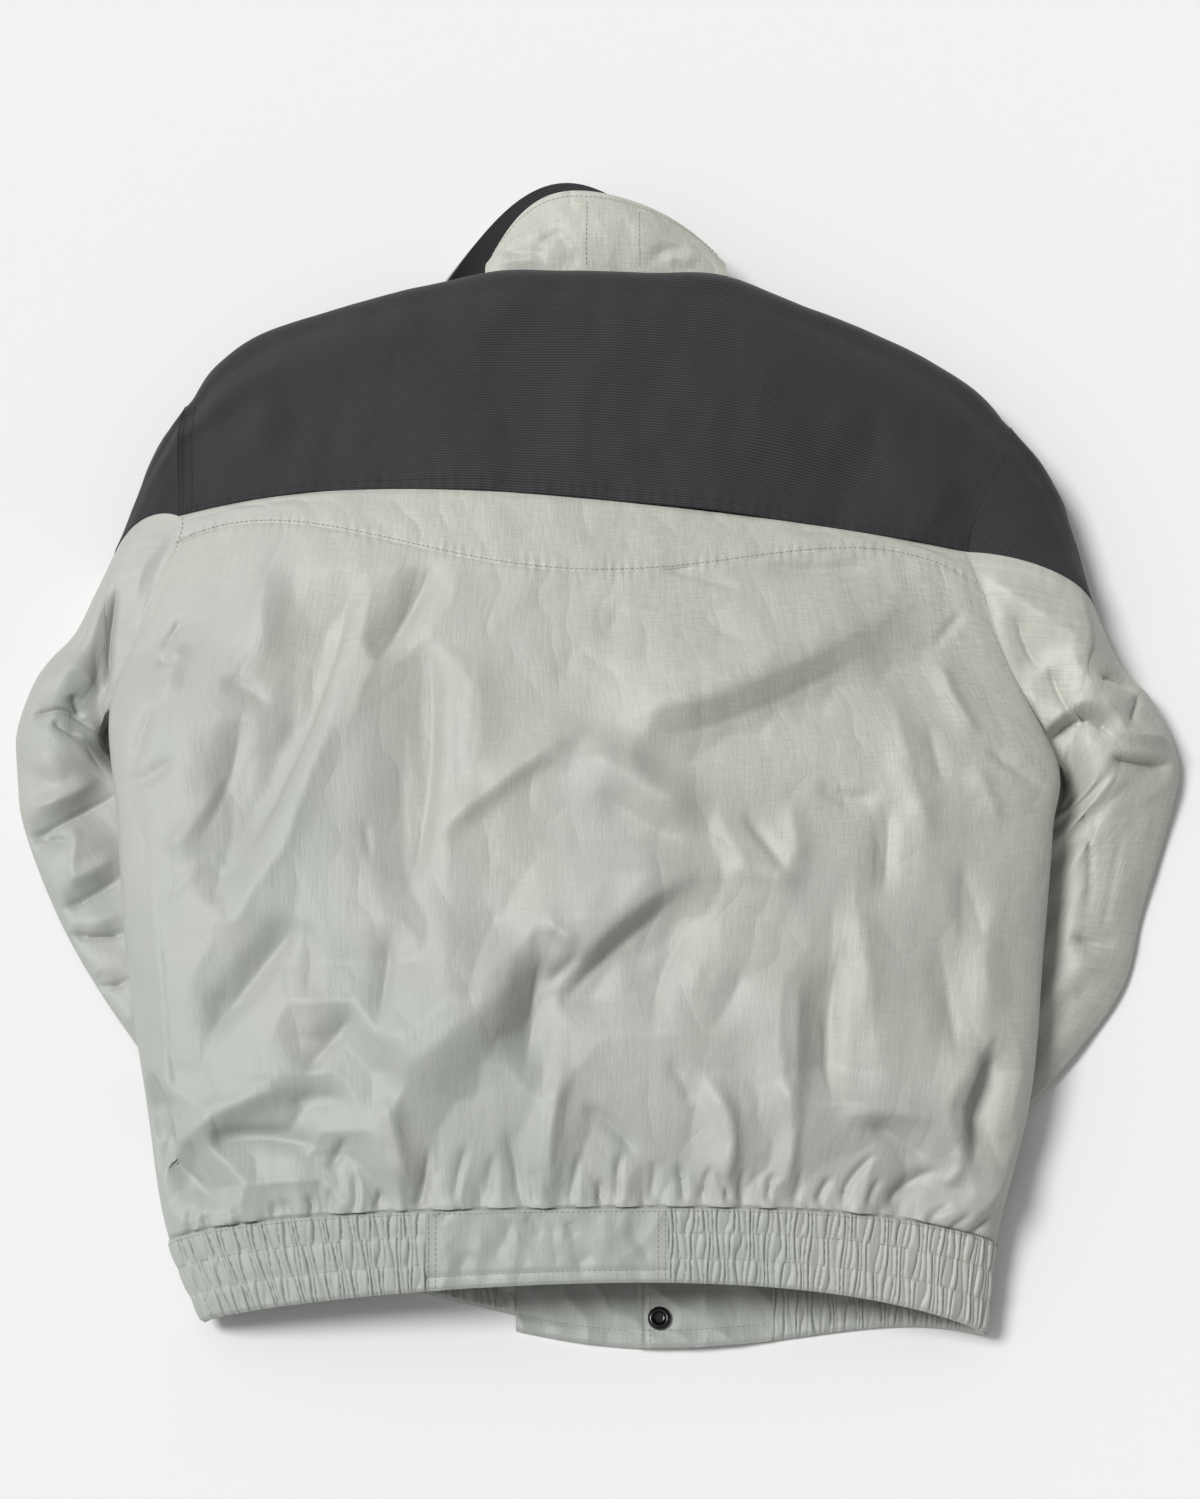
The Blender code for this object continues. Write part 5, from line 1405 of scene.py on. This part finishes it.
def make_sleeve(side, sage, charcoal):
    """A sleeve, the charcoal cap that is let into its shoulder, and its cuff."""
    def add_part(node, turn, along, fabric, rise=0.0, fade=1.0, is_tube=False):
        base = sleeve_surface(side, turn, along)
        heights = rise + sleeve_relief(side.creases, base) * ramp(along / CAP_FADE) * fade
        make_cloth(node, base, heights, fabric, side.outward, is_tube=is_tube)

    cuff_seam = len(side.rings) - 1.0
    beside_cap = np.linspace(0.0, side.cap_rings, CAP_GRID.rows)[:-1]
    rows = np.concatenate((beside_cap, np.linspace(side.cap_rings, cuff_seam, SLEEVE_GRID.rows)))
    half = cap_turn(side, rows)
    share = np.linspace(0.0, 1.0, SLEEVE_GRID.columns)
    turn, along = spread_rows(half, 2.0 * math.pi - half, share, rows)
    fade = ramp(np.minimum(turn - turn[:, :1], turn[:, -1:] - turn) / CAP_FADE)
    add_part(f"sleeve_{side.name}", turn, along, sage, fade=fade)

    rows = np.linspace(0.0, CAP_TIP * side.cap_rings, CAP_GRID.rows)
    half = cap_turn(side, rows)
    turn, along = spread_rows(-half, half, np.linspace(0.0, 1.0, CAP_GRID.columns), rows)
    add_part(f"sleeve_cap_{side.name}", turn, along, charcoal, rise=CAP_RISE)

    turns = np.linspace(0.0, 2.0 * math.pi, CUFF_GRID.columns)
    turn, along = np.meshgrid(turns, np.linspace(cuff_seam, cuff_seam + 1.0, CUFF_GRID.rows))
    add_part(f"cuff_{side.name}", turn, along, sage, is_tube=True)


def make_collar(sage, charcoal):
    """The back of the collar, and the front of it below with its lining."""
    for node, stations, drop, fabric in (
        ("collar_back", COLLAR_ROWS, 0.0, sage),
        ("collar_lining", LINING_ROWS, 0.0, charcoal),
        ("collar_front", LINING_ROWS, COLLAR_LAYER, sage),
    ):
        surface = partial(collar_surface, stations)
        turns = even_turns(surface, COLLAR_EDGE / 2.0, 0.0, math.pi, COLLAR_GRID.columns)
        turn, along = np.meshgrid(turns, np.linspace(0.0, COLLAR_EDGE, COLLAR_GRID.rows))
        base = surface(turn, along)
        base = base - grid_normals(base) * drop
        heights = collar_heights(base, turn, along) if node == "collar_back" else np.zeros_like(along)
        make_cloth(node, base, heights, fabric, thickness=COLLAR_THICKNESS)


def make_snap(plastic):
    """The ring snap: a domed ring with a sunken socket."""
    outline = np.array(SNAP_OUTLINE) * MM
    angle = np.linspace(0.0, 2.0 * math.pi, SNAP_COLUMNS, endpoint=False)
    radius, height = outline[:, :1], outline[:, 1:]
    points = np.stack((radius * np.cos(angle), radius * np.sin(angle), height + 0.0 * angle), axis=-1)
    closed = numbered(points, 0, True)
    mesh = bpy.data.meshes.new("snap")
    faces = quads(closed).tolist() + [closed[0, -2::-1].tolist(), closed[-1, :-1].tolist()]
    mesh.from_pydata((points.reshape(-1, 3) + SNAP_FOOT).tolist(), [], faces)
    add_piece("snap_ring", mesh, plastic, "snap")


def make_sewing(sage_thread, charcoal_thread):
    """The stitched lines that show, each just proud of its cloth."""
    sage_lines = []
    charcoal_lines = []

    # Across the back, and down beside the armholes
    across = np.linspace(BACK_STITCH_MARGIN, math.pi - BACK_STITCH_MARGIN, LONG_LINE)
    sage_lines.append(on_surface(back_surface, back_relief, across, BAND_SEAM + BAND_STITCH))
    for stitch in YOKE_STITCHES:
        charcoal_lines.append(on_surface(back_surface, yoke_relief, across, YOKE_EDGE + stitch))
    for first, last, lines, relief, insets in (
        (YOKE_EDGE, SHOULDER_TOP + SIDE_STITCH_END, charcoal_lines, yoke_relief, YOKE_SIDE_STITCHES),
        (ARMPIT + SIDE_STITCH_START, YOKE_EDGE, sage_lines, back_relief, BODY_SIDE_STITCHES),
    ):
        along = np.linspace(first, last, MIDDLE_LINE)
        row = rows_at(along)
        for inset in insets:
            for x in (row.left + inset, row.right - inset):
                lines.append(on_surface(back_surface, relief, turn_at_x(along, x), along))

    # Along the back of the waistband, and down both ends of its centre panel
    left, centre, right = WAISTBAND[:3]
    for part, levels, count in (
        (left, RIB_STITCHES, LONG_LINE),
        (right, RIB_STITCHES, LONG_LINE),
        (centre, (PANEL_STITCH, TOP_STITCH), PANEL_LINE),
    ):
        for height in levels:
            rows = np.full(2, blend(HEM_EDGE, HEM_SEAM, height))
            turn, along = waistband_grid(back_surface, rows, part, count)
            shirred = partial(shirred_line, height=height, ribs=part.ribs)
            relief = shirred if part.ribs else panel_heights
            sage_lines.append(on_surface(back_surface, relief, turn[0], along[0]))
    along = np.linspace(HEM_EDGE + 1.0, HEM_SEAM - 1.0, UPRIGHT_LINE)
    for end, inward in ((BACK_TAB_LEFT, 1.0), (BACK_TAB_RIGHT, -1.0)):
        for stitch in PANEL_END_STITCHES:
            turn = turn_at_x(along, end + inward * stitch)
            sage_lines.append(on_surface(back_surface, panel_heights, turn, along))

    # Along the two tabs of the front, and down the edge of the upper one
    def tab_rise(points, turn, along):
        return WAISTBAND_WALL + tab_heights(points, turn, along)

    upper_tab = partial(front_surface, lap=WAISTBAND_LAP)
    for surface, first_x, last_x in (
        (front_surface, FRONT_TAB_LEFT + 1.0, LAP_EDGE - 3.0),
        (upper_tab, LAP_EDGE + 2.0, FRONT_TAB_RIGHT),
    ):
        x = np.linspace(first_x, last_x, MIDDLE_LINE)
        along = np.full_like(x, blend(HEM_EDGE, HEM_SEAM, TAB_STITCH))
        sage_lines.append(on_surface(surface, tab_rise, turn_at_x(along, x), along))
    along = np.linspace(HEM_EDGE + 2.0, HEM_SEAM - 2.0, UPRIGHT_LINE)
    for stitch in LAP_STITCHES:
        sage_lines.append(on_surface(upper_tab, tab_rise, turn_at_x(along, LAP_EDGE + stitch), along))

    # Along the collar's free edge, and up the two sides of its middle
    collar = partial(collar_surface, COLLAR_ROWS)
    across = np.linspace(COLLAR_STITCH_MARGIN, math.pi - COLLAR_STITCH_MARGIN, COLLAR_LINE)
    sage_lines.append(on_surface(collar, collar_heights, across, COLLAR_EDGE_STITCH))
    upright = np.linspace(0.25, 1.8, COLLAR_UPRIGHT)
    for turn in COLLAR_MIDDLE_TURNS:
        sage_lines.append(on_surface(collar, collar_heights, turn, upright))

    return {
        "back_body": add_stitches("sage_topstitching", sage_lines, sage_thread),
        "back_yoke": add_stitches("charcoal_topstitching", charcoal_lines, charcoal_thread),
    }


def colour(hex_code):
    """An sRGB hex value as linear red, green, blue and alpha."""
    channels = [int(hex_code[i:i + 2], 16) / 255.0 for i in (1, 3, 5)]
    linear = [c / 12.92 if c <= 0.04045 else ((c + 0.055) / 1.055) ** 2.4 for c in channels]
    return (*linear, 1.0)


def set_inputs(node, values):
    """Links or constant values for a node's inputs."""
    for name, value in values.items():
        if isinstance(value, bpy.types.NodeSocket):
            node.id_data.links.new(value, node.inputs[name])
        else:
            node.inputs[name].default_value = value


def add_node(tree, kind, inputs=None, **settings):
    """A node with its settings, and links or values for its inputs."""
    node = tree.nodes.new(kind)
    for name, value in settings.items():
        setattr(node, name, value)
    set_inputs(node, inputs or {})
    return node


def new_material(name):
    """An empty node material with its shader."""
    material = bpy.data.materials.new(name)
    material.use_nodes = True
    return material, material.node_tree, material.node_tree.nodes["Principled BSDF"]


def sage_taffeta():
    """Woven nylon taffeta: a satin face with a fine upright crinkle and uneven threads both ways."""
    material, tree, shader = new_material("sage_nylon_taffeta")
    place = add_node(tree, "ShaderNodeUVMap", uv_map="cloth").outputs["UV"]

    # Random patterns with their size across and along in metres. Threads are drawn 1 mm wide, since real
    # ones of 0.15 mm would vanish at this distance.
    patterns = {}
    for name, across, along, detail in (
        ("upright threads", 0.001, 0.016, 2.0),
        ("level threads", 0.016, 0.001, 2.0),
        ("tone patches", 0.12, 0.16, 3.0),
        ("creases", 0.05, 0.085, 1.5),
        ("crinkle", 0.003, 0.014, 4.0),
    ):
        scale = (1.0 / across, 1.0 / along, 1.0)
        spread = add_node(tree, "ShaderNodeMapping", {"Vector": place, "Scale": scale})
        patterns[name] = add_node(tree, "ShaderNodeTexNoise", {
            "Vector": spread.outputs["Vector"], "Scale": 1.0, "Detail": detail, "Roughness": 0.6,
        }).outputs["Fac"]
    threads = add_node(tree, "ShaderNodeMath", {
        0: patterns["upright threads"], 1: patterns["level threads"],
    }, operation="ADD").outputs["Value"]
    tint = add_node(tree, "ShaderNodeMapRange", {
        "Value": threads, "From Min": 0.6, "From Max": 1.4, "To Min": 0.0, "To Max": 1.0,
    })
    # Painted light: the cloth is painted lighter and warmer towards the upper right and darker and cooler
    # towards the lower left, over random patches of tone
    spot = add_node(tree, "ShaderNodeTexCoord").outputs["Object"]
    slant = add_node(tree, "ShaderNodeVectorMath", {0: spot, 1: (0.9, 1.2, 0.0)}, operation="DOT_PRODUCT")
    light_slant_and_patches = add_node(tree, "ShaderNodeMath", {
        0: slant.outputs["Value"], 1: patterns["tone patches"],
    }, operation="ADD")
    painted_light_and_patches = add_node(tree, "ShaderNodeMix", {
        "Factor": light_slant_and_patches.outputs["Value"], "A": colour("#9EA39E"), "B": colour("#CECCBD"),
    }, data_type="RGBA")
    woven = add_node(tree, "ShaderNodeMix", {
        "Factor": tint.outputs["Result"], "A": colour("#A4A7A0"), "B": painted_light_and_patches.outputs["Result"],
    }, data_type="RGBA")
    # Crisp small creases: lines where a broad noise crosses its middle value
    offset = add_node(tree, "ShaderNodeMath", {0: patterns["creases"], 1: 0.5}, operation="SUBTRACT")
    folds = add_node(tree, "ShaderNodeMath", {0: offset.outputs["Value"]}, operation="ABSOLUTE")
    folded = add_node(tree, "ShaderNodeBump", {
        "Height": folds.outputs["Value"], "Strength": 0.7, "Distance": 0.008,
    })
    crinkled = add_node(tree, "ShaderNodeBump", {
        "Height": patterns["crinkle"], "Normal": folded.outputs["Normal"], "Strength": 0.34,
        "Distance": 0.001,
    })
    threaded = add_node(tree, "ShaderNodeBump", {
        "Height": threads, "Normal": crinkled.outputs["Normal"], "Strength": 0.25, "Distance": 0.0003,
    })
    set_inputs(shader, {
        "Base Color": woven.outputs["Result"], "Normal": threaded.outputs["Normal"],
        "Roughness": 0.56, "Specular IOR Level": 0.7, "IOR": 1.53,
        "Sheen Weight": 0.1, "Sheen Roughness": 0.4,
    })
    return material


def charcoal_rib():
    """Ribbed nylon weave: matt cords that run across the yoke, with painted shade in the grooves between
    them.
    """
    material, tree, shader = new_material("charcoal_ribbed_nylon_weave")
    place = add_node(tree, "ShaderNodeUVMap", uv_map="cloth").outputs["UV"]
    rib_pitch = 0.002
    ribs = add_node(tree, "ShaderNodeTexWave", {
        "Vector": place, "Scale": 2.0 * math.pi / 20.0 / rib_pitch, "Distortion": 0.3, "Detail": 2.0,
        "Detail Scale": 0.4,
    }, bands_direction="Y").outputs["Fac"]
    # Painted shade: the grooves between the cords are painted darker and the cord tops lighter
    tint = add_node(tree, "ShaderNodeMix", {
        "Factor": ribs, "A": colour("#232325"), "B": colour("#3A3A3D"),
    }, data_type="RGBA")
    raised = add_node(tree, "ShaderNodeBump", {"Height": ribs, "Strength": 0.5, "Distance": 0.0004})
    set_inputs(shader, {
        "Base Color": tint.outputs["Result"], "Normal": raised.outputs["Normal"],
        "Roughness": 0.75, "Specular IOR Level": 0.3, "Sheen Weight": 0.08,
    })
    return material


def plain_material(name, hex_code, roughness, specular=0.5):
    """A material of one colour: thread a little duller than its cloth, glossy plastic or matt paper."""
    material, tree, shader = new_material(name)
    set_inputs(shader, {
        "Base Color": colour(hex_code), "Roughness": roughness, "Specular IOR Level": specular,
    })
    return material


def make_studio():
    """A pale floor, a soft key light from the upper left, even fill and the photograph's camera."""
    bpy.ops.mesh.primitive_plane_add(size=FLOOR_SIZE, location=(0.0, 0.0, FLOOR_Z))
    floor = bpy.context.object
    floor.name = "floor"
    floor.data.materials.append(plain_material("pale_floor_paper", "#E8E8E8", 0.9, specular=0.1))

    scene = bpy.context.scene
    scene.world = bpy.data.worlds.new("studio")
    scene.world.use_nodes = True
    background = scene.world.node_tree.nodes["Background"]
    set_inputs(background, {"Color": colour("#FFFFFF"), "Strength": SKY_STRENGTH})

    def add_object(name, data, location, turn):
        placed = bpy.data.objects.new(name, data)
        scene.collection.objects.link(placed)
        placed.location = location
        placed.rotation_euler = [math.radians(angle) for angle in turn]
        return placed

    for sun in SUNS:
        light = bpy.data.lights.new(sun.name, "SUN")
        light.energy = sun.energy
        light.angle = math.radians(sun.spread)
        add_object(sun.name, light, (0.0, 0.0, 0.0), (sun.turn_x, sun.turn_y, 0.0))

    camera = bpy.data.cameras.new("camera")
    camera.lens = CAMERA_LENS
    camera.sensor_width = CAMERA_SENSOR
    elevation = math.radians(CAMERA_ELEVATION)
    away = CAMERA_DISTANCE * np.array([0.0, -math.cos(elevation), math.sin(elevation)])
    location = np.array(CAMERA_TARGET) + PLAN_SHIFT + away
    scene.camera = add_object("camera", camera, location, (90.0 - CAMERA_ELEVATION, 0.0, 0.0))
    scene.view_settings.view_transform = "Standard"


make_studio()
sage = Fabric(sage_taffeta(), "sage_nylon")
charcoal = Fabric(charcoal_rib(), "charcoal_ribbed_nylon")
make_back(sage, charcoal)
make_fronts(sage, charcoal)
make_waistband(sage)
for sleeve_side in SIDES:
    make_sleeve(sleeve_side, sage, charcoal)
make_collar(sage, charcoal)
sewing = make_sewing(
    Fabric(plain_material("sage_polyester_thread", "#9DA096", 0.6), "sage_nylon"),
    Fabric(plain_material("charcoal_polyester_thread", "#2A2A2C", 0.6), "charcoal_ribbed_nylon"),
)
make_snap(Fabric(plain_material("black_snap_plastic", "#0B0B0C", 0.22), "black_snap_plastic"))
